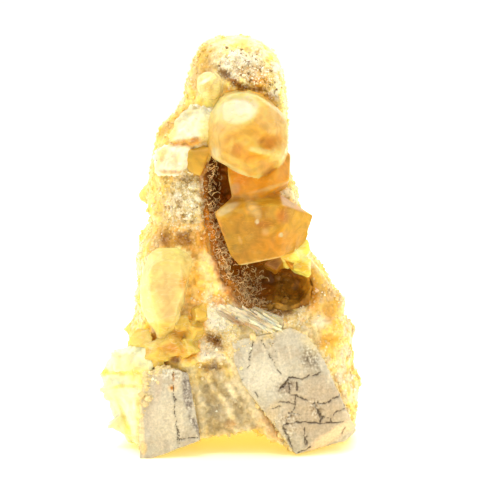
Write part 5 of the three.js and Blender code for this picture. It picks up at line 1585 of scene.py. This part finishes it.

# %% [markdown]
# The two on the left shoulder are blocky and nearly white, milky where the light comes through, with
# painted amber shade in the seam between them and painted brown shade on the underside. They are fused like
# the honey ones, more coarsely roughened, and sugar grows over their rims.
# %% The two white crystals of the shoulder
SHOULDERS = ("shoulder_crystal_upper", "shoulder_crystal_lower")
shoulders, whose = grown_together("white_shoulders", SHOULDERS, (12, 12), swollen=0.3)
roughen(shoulders, 1.0, swell=(3.5, 2.0), facet=(2.2, 0.6), grain=(0.9, 0.3))
here = points_of(shoulders)
write(shoulders, "tint", paint(here, screen(254, 249, 214), [
    # painted shade under the upper block, in the seam
    ("amber between the two", (-8.8, 68.9), (5.2, 0.9), 4, screen(238, 178, 70), 0.95, 0.5),
    ("brown in the amber", (-7.0, 69.6), (2.0, 0.5), 20, screen(186, 122, 34), 0.7, 0.6),
    ("olive dust", (-10.0, 74.6), (3.5, 1.1), 34, screen(210, 194, 134), 0.7),
    ("yellow right", (-5.2, 71.4), (1.6, 2.6), 0, screen(255, 236, 150), 0.85),
    ("pale green cloud", (-8.6, 72.6), (1.8, 1.4), 0, screen(248, 242, 196), 0.6),
    ("yellow left rim of the upper", (-13.0, 71.0), (1.2, 2.6), -20, screen(250, 222, 110), 0.7),
    ("peach middle", (-12.0, 65.2), (1.6, 1.4), 0, screen(250, 226, 168), 0.6),
    ("amber left facet of the lower", (-15.0, 65.8), (1.1, 2.2), -20, screen(244, 204, 110), 0.7, 0.6),
    # painted shade on the underside
    ("brown underside", (-12.4, 62.4), (3.4, 0.5), 0, screen(200, 146, 70), 0.7),
]))
seat(shoulders, *SHOULDERS)
hand_over(shoulders, white, "white_calcite", *SHOULDERS)
overgrow(shoulders, "shoulder_grains", 2.0, all_over(here, SNOW), 57)

# %% [markdown]
# Beside the bladed crystals of the sill many more lie side by side, thinner than a millimetre. Each is a
# flat lath with slanted ends, laid on the spar where a ray from the front meets it. They are one piece,
# because a lath that thin is never looked at alone.
# %% A bundle of thin blades
BLADES = 70
SILL_LEFT, SILL_WIDTH = -0.5, 11.0
SILL_HEIGHT, SILL_FALL = 31.6, 2.0
BOX_FACES = ((0, 1, 3, 2), (4, 6, 7, 5), (0, 4, 5, 1), (2, 3, 7, 6), (0, 2, 6, 4), (1, 5, 7, 3))


def lay_blades(name, count, seed):
    """One mesh of many thin laths, all turned nearly the same way."""
    chance = np.random.default_rng(seed)
    ground = search_tree(["calcite_matrix", "limestone_right", "bladed_crystals"])
    corners, faces = [], []
    for _ in range(count):
        share = chance.uniform(0, 1)
        height = SILL_HEIGHT - SILL_FALL * share + chance.uniform(-1.8, 1.2)
        in_the_air = Vector((SILL_LEFT + SILL_WIDTH * share, -60, height))
        hit = ground.ray_cast(in_the_air, Vector((0, 1, 0)))[0]
        if hit is None:
            continue
        fall = math.radians(chance.uniform(-36, -20))
        toward = Vector((math.cos(fall), chance.uniform(-0.08, 0.08), math.sin(fall)))
        across = Vector((-math.sin(fall), chance.uniform(-0.4, 0.4), math.cos(fall))).normalized()
        up = toward.cross(across).normalized()
        half = (chance.uniform(1.2, 3.2), chance.uniform(0.12, 0.34), chance.uniform(0.15, 0.34))
        middle = Vector((hit.x, hit.y - chance.uniform(-0.3, 0.25), hit.z))
        start = len(corners)
        slant = chance.uniform(-0.4, 0.4)
        for i in (-1, 1):
            for j in (-1, 1):
                for k in (-1, 1):
                    end = half[0] * i + slant * j
                    corners.append((middle + toward * end + across * half[1] * j + up * half[2] * k) * MM)
        faces += [[start + i for i in face] for face in BOX_FACES]
    mesh = bpy.data.meshes.new(name)
    mesh.from_pydata(corners, [], faces)
    shape = bmesh.new()
    shape.from_mesh(mesh)
    bmesh.ops.recalc_face_normals(shape, faces=shape.faces)
    shape.to_mesh(mesh)
    shape.free()
    piece = bpy.data.objects.new(name, mesh)
    bpy.context.scene.collection.objects.link(piece)
    return piece


# %% Lay and paint them
blades = lay_blades("thin_blades", BLADES, 5)
blade_spots = points_of(blades)
write(blades, "tint", paint(blade_spots, screen(248, 234, 200), [
    ("brown stain", (3.5, 29.0), (3.0, 0.9), -25, screen(196, 138, 78), 0.85),
    ("tan streak", (6.5, 30.4), (3.0, 0.5), -25, screen(222, 178, 118), 0.7),
]) * (0.85 + 0.3 * (flutter(blade_spots, 0.8, 15)[:, None] + 0.5)))
write(blades, "open", np.ones(len(blade_spots)))
hand_over(blades, bladed, "clear_calcite")
